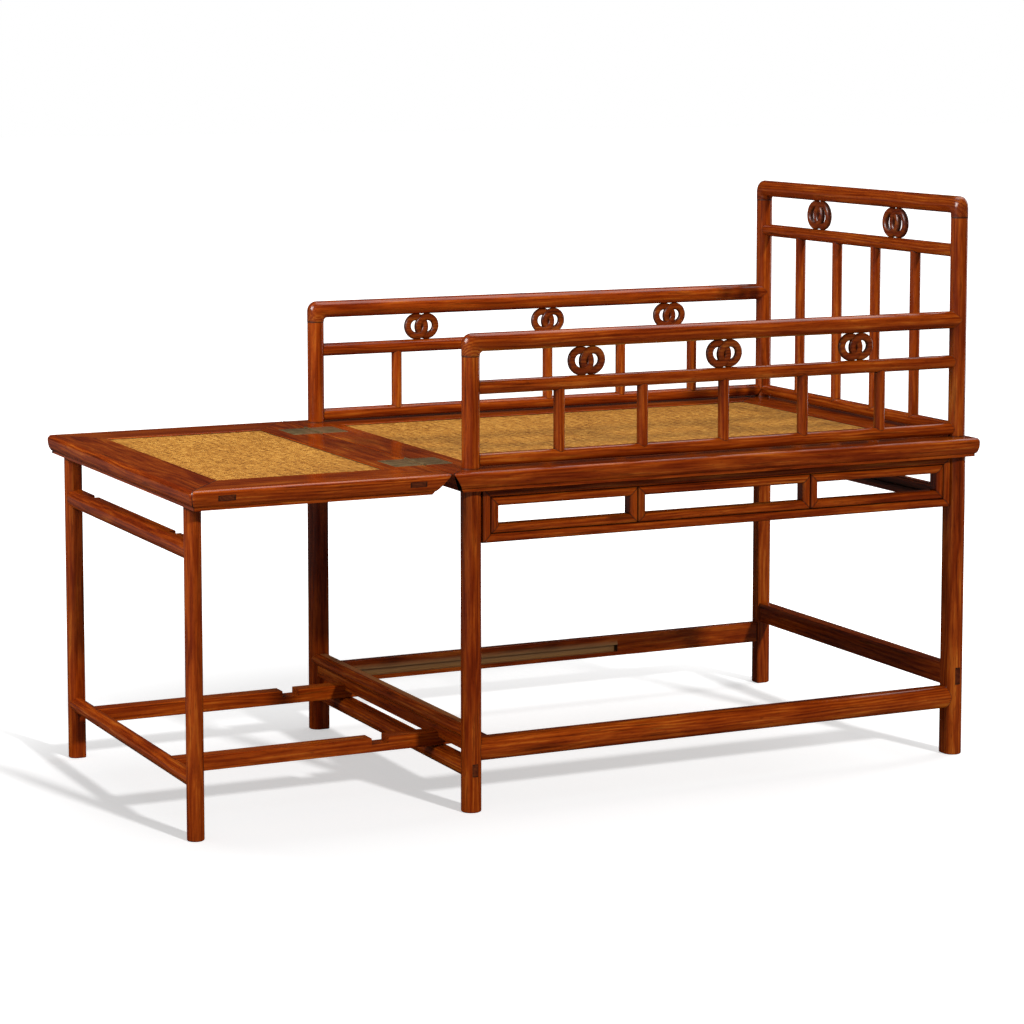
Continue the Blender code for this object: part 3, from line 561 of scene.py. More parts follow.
def brass_finish():
    finish, tree, shader = new_finish("dull_brass")
    place = node(tree, "TexCoord").outputs["Object"]
    patina = node(tree, "Group", {"Vector": place}, node_tree=brass_patina()).outputs
    feed(shader, {"Base Color": patina["Color"], "Roughness": patina["Roughness"], "Metallic": 0.45})
    return finish


DIRT_AND_SHADE_GROUP = dirt_and_shade_darkening()
FINISHES = {"hardwood": wood_finish(), "cane": cane_finish(), "hinge_brass": brass_finish()}
NAME_OF_FINISH = {"hardwood": "polished", "cane": "woven", "hinge_brass": "brass"}
BOARD_DRAWS = np.random.default_rng(11)
LOG_REACH = (0.3, 2.3)


def add_to_scene(name, data):
    made = bpy.data.objects.new(name, data)
    bpy.context.scene.collection.objects.link(made)
    return made


def add_mesh(name, shells, finish, worn=None):
    """An object made of shells. Each one's grain runs along its axis, from a place of its own in the log."""
    starts = np.cumsum([0] + [len(shell.points) for shell in shells])
    points = np.vstack([shell.points for shell in shells])
    faces, grain = [], []
    for start, shell in zip(starts, shells):
        faces += (shell.quads + start).tolist() + (shell.triangles + start).tolist()
        grain.append(shell.points[:, ORDERS[shell.axis]] + BOARD_DRAWS.uniform(*LOG_REACH, 3))
    mesh = bpy.data.meshes.new(name)
    mesh.from_pydata(points.tolist(), [], faces)
    mesh.shade_smooth()
    mesh.set_sharp_from_angle(angle=SHARP_ANGLE)
    mesh.materials.append(finish)
    worn = np.zeros(len(points)) if worn is None else worn
    # the joint mark carries the dirt of joints and painted shade
    joint = np.concatenate([shell.soot for shell in shells])
    for key, values in (("worn", worn), ("joint", joint), ("grain", np.vstack(grain))):
        kind, field = ("FLOAT", "value") if values.ndim == 1 else ("FLOAT_VECTOR", "vector")
        layer = mesh.attributes.new(key, kind, "POINT")
        layer.data.foreach_set(field, values.ravel().astype(np.float32))
    return add_to_scene(name, mesh)


def piece(part, *shells, worn=None):
    """The finished form of a CAD node: it rides on its body, takes its slot's finish and replaces it."""
    slot = SLOTS[part]
    made = add_mesh(f"{NAME_OF_FINISH[slot]}_{part}", shells, FINISHES[slot], worn)
    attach(made, frame["nodes"][part]["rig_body"])
    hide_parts(part)


def wood_detail(name, body, shell):
    """A finished wooden piece that stands for no CAD node of its own."""
    made = add_mesh(name, [shell], FINISHES["hardwood"])
    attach(made, body)


# Legs and posts


CORNER_POWER = 12  # squareness of a leg's inner corner
FOOT_EASE = 0.002
FOOT_STEPS = 4
# painted contact shadow round the sole of a leg
FOOT_CONTACT_SHADE = 0.6


def leg_outline(radius, inward, count=96):
    """A leg's section: a circle, with a squarish superellipse in the quarter that faces inward."""
    ray = circle(1, count)
    power = np.sum(np.abs(ray) ** CORNER_POWER, axis=1) ** (1 / CORNER_POWER)
    inner = (ray[:, 0] * inward[0] > 0) & (ray[:, 1] * inward[1] > 0)
    return ray * (radius / np.where(inner, power, 1))[:, None]


def build_leg(part, radius, inward, through_seat):
    """A leg with an eased foot, a quarter ellipse from its sole to its side, painted contact shadow round
    its sole, and dirt at its joints.

    A leg of the chair narrows to a round post inside the seat.
    """
    middle, top = centre(part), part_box(part)[1].z
    outline = leg_outline(radius, inward)
    eased = arc((radius - FOOT_EASE, FOOT_EASE), (FOOT_EASE, FOOT_EASE), -90, 0, FOOT_STEPS)
    rows = [(height, outline * reach / radius) for reach, height in eased]
    soot = [FOOT_CONTACT_SHADE] + [0] * FOOT_STEPS
    if through_seat:
        post = circle(POST_RADIUS, len(outline))
        heights = (SEAT_BOTTOM, SEAT_TOP, SEAT_TOP + 2 * JOINT_FADE, top - JOINT_FADE, top)
        rows += [(SEAT_BOTTOM - JOINT_FADE, outline), (SEAT_BOTTOM, outline)]
        rows += [(height, post) for height in heights]
        soot += [0, 1, 1, 1, 0, 0, 1]
    else:
        rows += [(top - 4 * JOINT_FADE, outline), (top, outline)]
        soot += [0, 1]
    piece(part, solid(carried(rows, "Z", (middle.x, middle.y, 0)), "Z", soot))


TENON_PROUD = 0.00015
TENON_SUNK = 0.002
TENON_HALF_WIDTH = 0.0045
TENON_INSET = 0.003  # from the top and foot of its stretcher
TENON_SHRINKS = (0.86, 0.78, 0.4)  # rings inside its rim
TENON_SOOT = (1, 1, 1, 0.75, 0.75)


def tenon_end(surface, low, high):
    """The end of a through tenon: a thin plate over part of a surface, dark round its rim.

    The surface gives points for (s, t, depth out of it), with s and t from low to high.
    """
    corners = np.array([(low[0], low[1]), (high[0], low[1]), (high[0], high[1]), (low[0], high[1])])
    share = np.linspace(0, 1, 8, endpoint=False)[None, :, None]
    sides = corners[:, None] * (1 - share) + np.roll(corners, -1, axis=0)[:, None] * share
    rim = sides.reshape(-1, 2)
    middle = rim.mean(axis=0)
    rings = [surface(*rim.T, -TENON_SUNK), surface(*rim.T, TENON_PROUD)]
    rings += [surface(*(middle + (rim - middle) * shrink).T, TENON_PROUD) for shrink in TENON_SHRINKS]
    return solid(np.stack(rings), "Y", TENON_SOOT)


def build_leg_tenons():
    """Ends of tenons on the legs' round outer faces: s is the way round, t the height."""
    for end, stretcher, x in (("front", "front_lower", FRONT_X), ("back", "back", BACK_X)):
        low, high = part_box(stretcher + "_stretcher")
        for side, sign in SIDES.items():

            def surface(s, t, out):
                turn, reach = s / LEG_RADIUS, LEG_RADIUS + out
                return columns(x + reach * np.sin(turn), sign * (LEG_Y + reach * np.cos(turn)), t)

            start, stop = (-TENON_HALF_WIDTH, low.z + TENON_INSET), (TENON_HALF_WIDTH, high.z - TENON_INSET)
            wood_detail(f"polished_{end}_{side}_leg_tenon", "chair", tenon_end(surface, start, stop))


# Arms and back


CORNER_ROUND = 0.015
CORNER_DROP = 0.006
ELBOW_DARKENING = 0.3
BAR_RADIUS = 0.0085
ARM_BAR_PITCH = 0.138


def turned_corner(radius, steps=18):
    """Rings round a rail's turned-down end as (along from the post's axis, up from the rail's axis, across).

    Each ring is an ellipse on a ray from the centre of the inner arc, CORNER_DROP inside both members, and
    reaches from that arc to the outer face, a square corner rounded by CORNER_ROUND.
    """
    pivot = np.array([radius + CORNER_DROP, -radius - CORNER_DROP])
    outer = 2 * radius + CORNER_DROP
    middle = np.array([CORNER_ROUND - radius, radius - CORNER_ROUND]) - pivot
    turn = np.radians(np.linspace(0, 90, steps + 1))
    out = columns(-np.sin(turn), np.cos(turn))
    straight = outer / np.abs(out).max(axis=1)
    hit = out * straight[:, None]
    near = out @ middle
    rounded = near + np.sqrt(np.maximum(near**2 - middle @ middle + CORNER_ROUND**2, 0))
    in_corner = (hit[:, 0] < middle[0]) & (hit[:, 1] > middle[1])
    reach = np.where(in_corner, rounded, straight)
    along_ray = pivot + out * ((CORNER_DROP + reach) / 2)[:, None]
    round_turn = angles(AROUND)
    half = ((reach - CORNER_DROP) / 2)[:, None, None]
    plane = along_ray[:, None] + out[:, None] * half * np.cos(round_turn)[None, :, None]
    across = np.broadcast_to(radius * np.sin(round_turn), (steps + 1, AROUND))
    return np.concatenate([plane, across[:, :, None]], axis=2)


def elbow_darkening(count):
    """A darker tone that grows round an elbow, and dirt at its joint with the post."""
    soot = ELBOW_DARKENING * np.linspace(0, 1, count)
    soot[-1] = 1
    return soot


def build_arm_rail(side):
    """A round rail hollowed to the back post, whose front end turns down onto the front post."""
    corner = turned_corner(ARM_RADIUS)
    back = corner[0].copy()
    back[:, 0] = LEG_SPAN - saddle(back[:, 2], POST_RADIUS + SEAM)
    rings = np.vstack([[back, back - (JOINT_FADE, 0, 0)], corner])[:, :, [0, 2, 1]]
    soot = np.r_[1, 0, elbow_darkening(len(corner))]
    piece(f"{side}_arm_rail", solid(rings + (FRONT_X, SIDES[side] * LEG_Y, ARM_Z), "X", soot))


def build_crest_rail():
    """A round rail whose two ends turn down onto the back posts."""
    corner = turned_corner(CREST_RADIUS)[:, :, [2, 0, 1]]
    left = corner[::-1] - (0, LEG_Y, 0)
    right = corner * (1, -1, 1) + (0, LEG_Y, 0)
    soot = elbow_darkening(len(corner))
    soot = np.r_[soot[::-1], soot]
    piece("crest_rail", solid(np.vstack([left, right]) + (BACK_X, 0, CREST_Z), "Y", soot))


def round_rail(radius, axis, span, at):
    """A round rail about a middle, with both ends hollowed to fit round posts."""
    section = circle(radius)
    return spanning(span / 2 - saddle(section[:, 0], POST_RADIUS + SEAM), section, axis, at)


def upright(high, rail_along_x, x, y):
    """A round bar from the low rail to one of a (height, radius), its ends hollowed to fit them."""
    section = circle(BAR_RADIUS, 32)
    offset = section[:, 1] if rail_along_x else section[:, 0]
    start = LOW_Z + saddle(offset, LOW_RADIUS + SEAM)
    end = high[0] - saddle(offset, high[1] + SEAM)
    return member([(start, section), (end, section)], "Z", (x, y, 0))


def build_arm(side):
    y = SIDES[side] * LEG_Y
    build_arm_rail(side)
    piece(f"{side}_arm_mid_rail", round_rail(MID_RADIUS, "X", LEG_SPAN, (MIDDLE_X, y, ARM_MID_Z)))
    piece(f"{side}_arm_grille", round_rail(LOW_RADIUS, "X", LEG_SPAN, (MIDDLE_X, y, LOW_Z)))
    for i, x in enumerate(MIDDLE_X + np.arange(-2, 3) * ARM_BAR_PITCH, 1):
        shell = upright((ARM_MID_Z, MID_RADIUS), True, x, y)
        wood_detail(f"polished_{side}_arm_bar_{i}", "chair", shell)
    for i in (1, 2, 3):
        build_double_ring(f"{side}_arm_ring_{i}", ARM_MID_Z + MID_RADIUS, ARM_Z - ARM_RADIUS, True)


def build_back():
    build_crest_rail()
    piece("back_mid_rail", round_rail(MID_RADIUS, "Y", 2 * LEG_Y, (BACK_X, 0, BACK_MID_Z)))
    piece("back_low_rail", round_rail(LOW_RADIUS, "Y", 2 * LEG_Y, (BACK_X, 0, LOW_Z)))
    for i in (1, 2, 3, 4):
        part = f"back_bar_{i}"
        piece(part, upright((BACK_MID_Z, MID_RADIUS), False, BACK_X, centre(part).y))
    for i in (1, 2):
        build_double_ring(f"back_ring_{i}", BACK_MID_Z + MID_RADIUS, CREST_Z - CREST_RADIUS, False)


RING_TUBE = 0.0060  # half-width of a ring's bar, seen from the front
RING_DEPTH = 0.0052  # half its depth
RING_SPREAD = 0.43
RING_SWING = 0.0018
BACK_RING_SWING = 0.0006
RING_RISE = 0.0006
# darkens the rings: a darker tone all over, and painted shade on the inner and outer edges of their bars
RING_DARK_TONE_AND_EDGE_SHADE = 0.5
# where round a bar's section the painted edge shade starts
RING_FLANK = 0.6


def ring_shell(outer, offset, swing):
    """One ring of a linked pair in the plane of along and up, and its darkening: a darker tone, with painted
    shade on its flanks, the inner and outer edges of its bar.

    Its centre line is a circle shifted along by the offset, whose depth is swing * sin of the angle, so that
    one ring leads at the top and the other at the foot. Its section is an ellipse.
    """
    turn = angles(72)[:, None]
    small = angles(24)[None]
    reach = outer - RING_TUBE + RING_TUBE * np.cos(small)
    along = offset + reach * np.cos(turn)
    depth = swing * np.sin(turn) + RING_DEPTH * np.sin(small)
    flank = ((np.abs(np.cos(small)) - RING_FLANK) / (1 - RING_FLANK)).clip(0, 1)
    return columns(along, depth, reach * np.sin(turn)), RING_DARK_TONE_AND_EDGE_SHADE * (0.7 + flank)


def build_double_ring(part, low, high, along_x):
    """Two linked rings between two rails, RING_SPREAD of their radius off a middle."""
    middle = centre(part)
    outer = (high - low) / 2 + RING_RISE
    swing = RING_SWING if along_x else BACK_RING_SWING
    shells = []
    for sign in (-1, 1):
        rings, soot = ring_shell(outer, sign * outer * RING_SPREAD, -sign * swing)
        if not along_x:
            rings = rings[:, :, [1, 0, 2]] * (1, -1, 1)
        rings = rings + (middle.x, middle.y, (low + high) / 2)
        shells.append(solid(rings, "X" if along_x else "Y", soot, closed=True))
    piece(part, *shells)


# Aprons


APRON_BAR = 0.0132
APRON_BAR_ROUND = 0.005
APRON_BACK_EASE = 0.001
SIDE_MIDDLE_FRAME = 0.298
GROOVE_SHADE_START = 0.0014  # how deep in a groove its painted shade starts
GROOVE_SHADE_FADE = 0.0020
FREE, FACED = 0.0, 1.0  # whether a bar's outer and inner side face a groove
# for each bar, whether its outer and inner sides face a groove and take painted shade
OUTER_GROOVE_SHADE = ((FREE, FACED), (FACED, FACED), (FACED, FACED), (FACED, FACED))
INNER_GROOVE_SHADE = ((FACED, FREE),) * 4


def bar_section(thick, shaded_outside, shaded_inside):
    """A moulded bar's section as (distance from its outer edge, thickness), rounded in front, and its
    painted shade.

    The painted shade grows with the depth below the front on sides that face a groove.
    """
    r, half, width = APRON_BAR_ROUND, thick / 2, APRON_BAR
    section = np.concatenate([
        arc((width - r, half - r), (r, r), 0, 90, 8),
        arc((r, half - r), (r, r), 90, 180, 8),
        [(0, 0), (0, APRON_BACK_EASE - half), (APRON_BACK_EASE, -half)],
        [(width - APRON_BACK_EASE, -half), (width, APRON_BACK_EASE - half), (width, 0)],
    ])
    deep = np.clip((half - section[:, 1] - GROOVE_SHADE_START) / GROOVE_SHADE_FADE, 0, 1)
    return section, deep * np.where(section[:, 0] < width / 2, shaded_outside, shaded_inside)


def moulded_frame(middle, width, height, thick, facing, dirt):
    """A mitred frame of four moulded bars in the plane of along and up, as (rings, dirt and painted shade)
    per bar.

    A bar's section stands on the bisectors of its two corners, and its rings are shifted along it. For each
    bar, the dirt argument says whether its outer and inner sides face a groove and so take painted shade.
    """
    corners = np.array([(-1, -1), (1, -1), (1, 1), (-1, 1)], float)
    bars = []
    for i in range(4):
        section, soot = bar_section(thick, *dirt[i])
        ends = []
        for sign in corners[[i, (i + 1) % 4]]:
            plane = sign * (np.array([width, height]) / 2 - section[:, :1])
            ends.append(columns(plane[:, 0] + middle, facing * section[:, 1], plane[:, 1]))
        way = np.eye(3)[i % 2 * 2]
        way = way * np.sign((ends[1] - ends[0]).sum(axis=0) @ way)
        near, far = SEAM / 2 * way, (SEAM / 2 + JOINT_FADE) * way
        rings = np.stack([ends[0] + near, ends[0] + far, ends[1] - far, ends[1] - near])
        bars.append((rings, np.maximum([[1], [0], [0], [1]], soot)))
    return bars


def build_apron(part, span, inner_widths, along_x, facing):
    """An outer frame that stands between the legs, round inner frames that meet at grooves."""
    middle, half = placed(part)
    height, thick = 2 * half.z, 2 * (half.y if along_x else half.x)
    inner_height = height - 2 * APRON_BAR - SEAM
    bars = moulded_frame(0, span - 2 * LEG_RADIUS - SEAM, height, thick, facing, OUTER_GROOVE_SHADE)
    start = -sum(inner_widths) / 2
    for width in inner_widths:
        bars += moulded_frame(start + width / 2, width - SEAM, inner_height, thick, facing, INNER_GROOVE_SHADE)
        start += width
    order, along = ([0, 1, 2], "X") if along_x else ([1, 0, 2], "Y")
    shells = []
    for i, (rings, soot) in enumerate(bars):
        shells.append(solid(rings[:, :, order] + tuple(middle), along if i % 2 == 0 else "Z", soot))
    piece(part, *shells)


def build_aprons():
    edges = 2 * LEG_RADIUS + 2 * APRON_BAR
    end_frame = (LEG_SPAN - edges - SIDE_MIDDLE_FRAME) / 2
    for side, sign in SIDES.items():
        build_apron(f"{side}_apron", LEG_SPAN, (end_frame, SIDE_MIDDLE_FRAME, end_frame), True, sign)
    build_apron("back_apron", 2 * LEG_Y, ((2 * LEG_Y - edges) / 2,) * 2, False, 1)


# Stretchers


STRETCHER_BULGE = 0.012
BACK_STRETCHER_BULGE = 0.005
GROOVE_HEIGHT = 0.0118
GROOVE_DEPTH = 0.009
GROOVE_END = 0.5465  # behind the front legs' centres
GROOVE_SHADE = 0.0025  # how far down from its top the painted shadow of the upper lip fades on a groove's floor
RUBBED_REACH = 0.009  # how far above the groove its upper lip is rubbed
RUBBED_LIP = 0.85
RUBBED_TOP = 0.4
RUNNER_CLEARANCE = 0.0005
EASE = 0.0012
BEAD_FLAT = 0.003
BEAD_BOTTOM = 0.107
BEAD_SEAM = 0.0005
UPPER_BODY_FRONT = 0.006


def bowed_section(depth, height, bulge, back_points=()):
    """A section as (outward, up): a half-ellipse in front and a flat, eased back at -depth / 2.

    Further points on the back come between its two eased edges, from the top down.
    """
    back, half = -depth / 2, height / 2
    front = arc((depth / 2 - bulge, 0), (bulge, half), -90, 90, 16)
    top = arc((back + EASE, half - EASE), (EASE, EASE), 90, 180, 3)
    foot = arc((back + EASE, EASE - half), (EASE, EASE), 180, 270, 3)
    return np.concatenate([front, top, np.reshape(back_points, (-1, 2)), foot])


def build_side_stretcher(side):
    """A bowed stretcher with a groove in its inner face, where the section steps in by the groove's depth.

    The groove is rubbed by the runners' cross-bar, and so is the lip above it, less with the height. Its
    floor carries a painted shadow of the upper lip along its top, and its far end is darker.
    """
    part = f"{side}_stretcher"
    middle, half = placed(part)
    inner = -half.y
    sunk = inner + SEAM
    runner_z = centre("left_runner").z - middle.z
    upper, lower = runner_z + GROOVE_HEIGHT / 2, runner_z - GROOVE_HEIGHT / 2
    back = [(inner, upper + RUBBED_REACH), (inner, upper + SEAM), (inner, upper), (sunk, upper)]
    back += [(sunk, upper - GROOVE_SHADE), (sunk, lower), (inner, lower), (inner, lower - SEAM)]
    plain = bowed_section(2 * half.y, 2 * half.z, STRETCHER_BULGE, back)
    out, up = plain.T
    floor = out == sunk
    deep = plain + np.where(floor, GROOVE_DEPTH, 0)[:, None] * (1, 0)
    lip = (out == inner) & (up >= upper - SEAM / 2) & (up < upper + RUBBED_REACH)
    shaded = floor & (up > upper - GROOVE_SHADE / 2)
    start, end = FRONT_X + leg_face(out, -1), BACK_X - leg_face(out, -1)
    groove_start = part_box("runner_crossbar")[0].x - RUNNER_CLEARANCE
    groove_end = FRONT_X + GROOVE_END
    rows = [(start, plain), (start + JOINT_FADE, plain), (groove_start, plain), (groove_start, deep)]
    rows += [(groove_end - JOINT_FADE, deep), (groove_end, deep), (groove_end, plain)]
    rows += [(groove_end + JOINT_FADE, plain), (end - JOINT_FADE, plain), (end, plain)]
    rows = [(places, section * (SIDES[side], 1)) for places, section in rows]
    soot, rubbed = np.zeros((2, len(rows), len(plain)))
    soot[[0, -1]] = 1
    # painted shadow of the upper lip along the top of the groove's floor
    soot[3:6, shaded] = 1
    soot[5:7, floor] = 1
    rubbed[3:6, floor] = 1
    rubbed[2:7, lip] = RUBBED_LIP
    shell = solid(carried(rows, "X", (0, middle.y, middle.z)), "X", soot)
    piece(part, shell, worn=np.r_[rubbed.ravel(), 0, 0])


def between_legs(part, section, inner_side, leg_y=LEG_Y, radius=LEG_RADIUS, **notched):
    """A member across the chair about its node's middle, whose ends follow the legs' faces."""
    middle = centre(part)
    ends = leg_y - leg_face(section[:, 0], inner_side, radius)
    piece(part, spanning(ends, section, "Y", (middle.x, 0, middle.z), **notched))


def build_back_stretcher():
    half = half_size("back_stretcher")
    between_legs("back_stretcher", bowed_section(2 * half.x, 2 * half.z, BACK_STRETCHER_BULGE), -1)


def build_front_stretchers():
    """The upper stretcher is a bead before a flat body, notched over the runners. The lower one is bowed."""
    low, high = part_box("front_upper_stretcher")
    runner_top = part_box("left_runner")[1].z + RUNNER_CLEARANCE
    back, front = high.x - FRONT_X, BEAD_SEAM - BEAD_FLAT
    flat, step = high.z - SEAM, BEAD_BOTTOM - SEAM
    bead_reach = FRONT_X - low.x - BEAD_FLAT, (high.z - BEAD_BOTTOM) / 2
    bead = arc((-BEAD_FLAT, (high.z + BEAD_BOTTOM) / 2), bead_reach, 90, 270, 18)
    bead = np.vstack([bead, [(-BEAD_FLAT, BEAD_BOTTOM + SEAM)]])
    body = [(back, low.z), (back, flat), (front, flat), (front, step)]
    body += [(-UPPER_BODY_FRONT, step), (-UPPER_BODY_FRONT, low.z)]
    body = filleted(body, (EASE, EASE, SEAM, SEAM, EASE, EASE), 3)
    raised = columns(body[:, 0], np.maximum(body[:, 1], runner_top))
    notches = []
    for side in SIDES:
        near, far = (corner.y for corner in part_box(f"{side}_runner"))
        notches.append((near - RUNNER_CLEARANCE, far + RUNNER_CLEARANCE))
    at = (FRONT_X, 0, 0)
    shells = [
        spanning(LEG_Y - leg_face(body[:, 0], 1), body, "Y", at, raised, notches),
        spanning(LEG_Y - leg_face(bead[:, 0], 1), bead, "Y", at),
    ]
    x, _, z = np.vstack([shell.points for shell in shells]).T
    on_top = (z > flat - SEAM / 2) & (x > FRONT_X + front - SEAM)
    piece("front_upper_stretcher", *shells, worn=RUBBED_TOP * on_top)
    low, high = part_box("front_lower_stretcher")
    depth = high.x - low.x
    out, up = bowed_section(depth, high.z - low.z, STRETCHER_BULGE).T
    lower = columns(high.x - FRONT_X - depth / 2 - out, up + (low.z + high.z) / 2)
    piece("front_lower_stretcher", spanning(LEG_Y - leg_face(lower[:, 0], 1), lower, "Y", at))


# Seat and leg rest frames


MITRE_STEPS = np.array([0, 0.0008, 0.0016, 0.0026, 0.0038, 0.005, 0.0062, 0.0074, 0.0086, 0.010])
MITRE_SOOT = np.array([1, 0.9] + [0] * 8)
BEVEL_STEPS = np.array([0, JOINT_FADE])
BEVEL_SOOT = np.array([0.5, 0])


def edge_section(width):
    """A moulded rail's section as (inward, up): lip, flat top, rounded edge, tucked side, bead."""
    shoulder = THICK - EDGE_ROUND
    section = np.concatenate([
        [(width + LIP_WIDTH, 0), (width + LIP_WIDTH, LIP_TOP), (width, LIP_TOP)],
        arc((width - ARRIS, THICK - ARRIS), (ARRIS, ARRIS), 0, 90, 3),
        arc((EDGE_ROUND, shoulder), (EDGE_ROUND, EDGE_ROUND), 90, 180, 10),
        arc((EDGE_TUCK, shoulder), (EDGE_TUCK, shoulder - EDGE_BEAD), 180, 270, 12)[1:],
        [(EDGE_TUCK, 0)],
    ])
    return densified(section, EDGE_STEP)


def bevelled_section(width, bevel):
    """The section of a rail beside the hinge, whose outer face leans back by the bevel's angle."""
    lean = THICK * math.tan(bevel)
    corners = [(width + LIP_WIDTH, 0), (width + LIP_WIDTH, LIP_TOP), (width, LIP_TOP), (width, THICK)]
    corners += [(JOINT_HALF_GAP, THICK), (JOINT_HALF_GAP + lean, 0)]
    return densified(filleted(corners, ARRIS, 3), EDGE_STEP)


def plan_rounded(rings, corner_x, inward):
    """Rounds a board's outer corners, seen from above.

    Within PLAN_ROUND of both edges, a point's offset (a, b) from the rounding's centre shrinks by
    max(a, b) / |(a, b)|, which turns each square round that centre into a circle.
    """
    rings = rings.copy()
    a = (corner_x + inward * PLAN_ROUND - rings[..., 0]) * inward
    b = np.abs(rings[..., 1]) - (SEAT_EDGE_Y - PLAN_ROUND)
    shrink = np.where((a > 0) & (b > 0), np.maximum(a, b) / np.hypot(a, b).clip(1e-9), 1)
    rings[..., 0] = np.where(shrink < 1, corner_x + inward * (PLAN_ROUND - a * shrink), rings[..., 0])
    rounded = SEAT_EDGE_Y - PLAN_ROUND + b * shrink
    rings[..., 1] = np.where(shrink < 1, np.sign(rings[..., 1]) * rounded, rings[..., 1])
    return rings


def build_side_rail(part, sign, ends, widths, bevels):
    """A side rail between two mitres. At a hinge end it stops at the bevel where that is further in.

    A mitre's place along the rail grows with the distance u from the edge as u * end width / side width.
    """
    section = edge_section(widths["side"])
    u, w = section.T
    turned = columns(-sign * u, w)
    rows, soot = [], []
    for end, (edge_x, inward) in ends.items():
        inset = SEAM + u * widths[end] / widths["side"]
        steps, marks = MITRE_STEPS, MITRE_SOOT
        if bevels[end] is not None:
            inset = np.maximum(inset, JOINT_HALF_GAP + (THICK - w) * math.tan(bevels[end]))
            steps, marks = BEVEL_STEPS, BEVEL_SOOT
        rows += [(edge_x + inward * (inset + step), turned) for step in steps[::inward]]
        soot.append(marks[::inward])
    rings = carried(rows, "X", (0, sign * SEAT_EDGE_Y, SEAT_BOTTOM))
    for end, (edge_x, inward) in ends.items():
        if bevels[end] is None:
            rings = plan_rounded(rings, edge_x, inward)
    piece(part, solid(rings, "X", np.concatenate(soot)))


def build_end_rail(part, edge_x, inward, width, side_width, bevel):
    """A front or back rail between its mitres, which meet the side rails' on the lines u / width."""
    section = edge_section(width) if bevel is None else bevelled_section(width, bevel)
    u, w = section.T
    reach = SEAT_EDGE_Y - SEAM - u * side_width / width
    turned = columns(inward * u, w)
    rows = [(step - reach, turned) for step in MITRE_STEPS]
    rows += [(reach - step, turned) for step in MITRE_STEPS[::-1]]
    rings = carried(rows, "Y", (edge_x, 0, SEAT_BOTTOM))
    if bevel is None:
        rings = plan_rounded(rings, edge_x, inward)
    piece(part, solid(rings, "Y", np.r_[MITRE_SOOT, MITRE_SOOT[::-1]]))


def build_frame(prefix, low, high, widths, bevels):
    ends = {"front": (low, 1), "back": (high, -1)}
    for side, sign in SIDES.items():
        build_side_rail(f"{prefix}_{side}_rail", sign, ends, widths, bevels)
    for end, (edge_x, inward) in ends.items():
        build_end_rail(f"{prefix}_{end}_rail", edge_x, inward, widths[end], widths["side"], bevels[end])


REST_TENONS = (-0.0985, -0.3875)  # middles, from the front legs
REST_TENON_HALF = 0.013
REST_TENON_Z = (0.489, 0.497)


def build_rest_tenons():
    """Ends of tenons on the leg rest's edges, which tuck in by a quarter ellipse."""
    tuck = THICK - EDGE_ROUND - EDGE_BEAD
    for side, sign in SIDES.items():
        for i, place in enumerate(REST_TENONS, 1):

            def surface(s, t, out):
                drop = ((SEAT_BOTTOM + THICK - EDGE_ROUND - t) / tuck).clip(0, 1)
                inset = EDGE_TUCK * (1 - np.sqrt(1 - drop**2))
                return columns(s, sign * (SEAT_EDGE_Y - inset + out), t)

            middle = FRONT_X + place
            low, high = zip((middle - REST_TENON_HALF, middle + REST_TENON_HALF), REST_TENON_Z)
            wood_detail(f"polished_rest_{side}_tenon_{i}", "leg_rest", tenon_end(surface, low, high))


MAT_SAG = 0.0022
MAT_RIM_X = 0.0022  # the dark line round a mat's edge
MAT_RIM_Y = 0.0045
BRACE_EASE = 0.002


def rimmed(low, high, rim, count):
    """Places from low to high with extra ones just inside each end, and the dirt at each."""
    inner = np.linspace(low + 1.5 * rim, high - 1.5 * rim, count)
    places = np.r_[low, low + rim, inner, high - rim, high]
    return places, np.r_[1, 0.9, np.zeros(count), 0.9, 1]


def build_mat(part):
    """A woven mat: a grid whose top sags by MAT_SAG * (sin sin)^0.7, with a flat underside."""
    low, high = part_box(part)
    xs, along_soot = rimmed(low.x, high.x, MAT_RIM_X, 60)
    ys, across_soot = rimmed(low.y, high.y, MAT_RIM_Y, 44)
    x, y = np.meshgrid(xs, ys, indexing="ij")
    s, t = (x - low.x) / (high.x - low.x), (y - low.y) / (high.y - low.y)
    sag = MAT_SAG * (np.sin(np.pi * s) * np.sin(np.pi * t)).clip(0) ** 0.7
    top = columns(x, y, high.z - sag).reshape(-1, 3)
    under = columns(x, y, np.full_like(x, low.z)).reshape(-1, 3)
    grid = np.arange(x.size).reshape(x.shape)
    quads = columns(grid[:-1, :-1], grid[1:, :-1], grid[1:, 1:], grid[:-1, 1:]).reshape(-1, 4)
    rim = np.r_[grid[:-1, 0], grid[-1, :-1], grid[:0:-1, -1], grid[0, :0:-1]]
    wall = columns(rim, rim + len(top), np.roll(rim, -1) + len(top), np.roll(rim, -1))
    points = np.vstack([top, under])
    faces = np.vstack([quads, quads[:, ::-1] + len(top), wall])
    soot = np.maximum(along_soot[:, None], across_soot[None]).ravel()
    piece(part, Shell(points, *outward(points, faces, NO_TRIANGLES), np.tile(soot, 2), "X"))


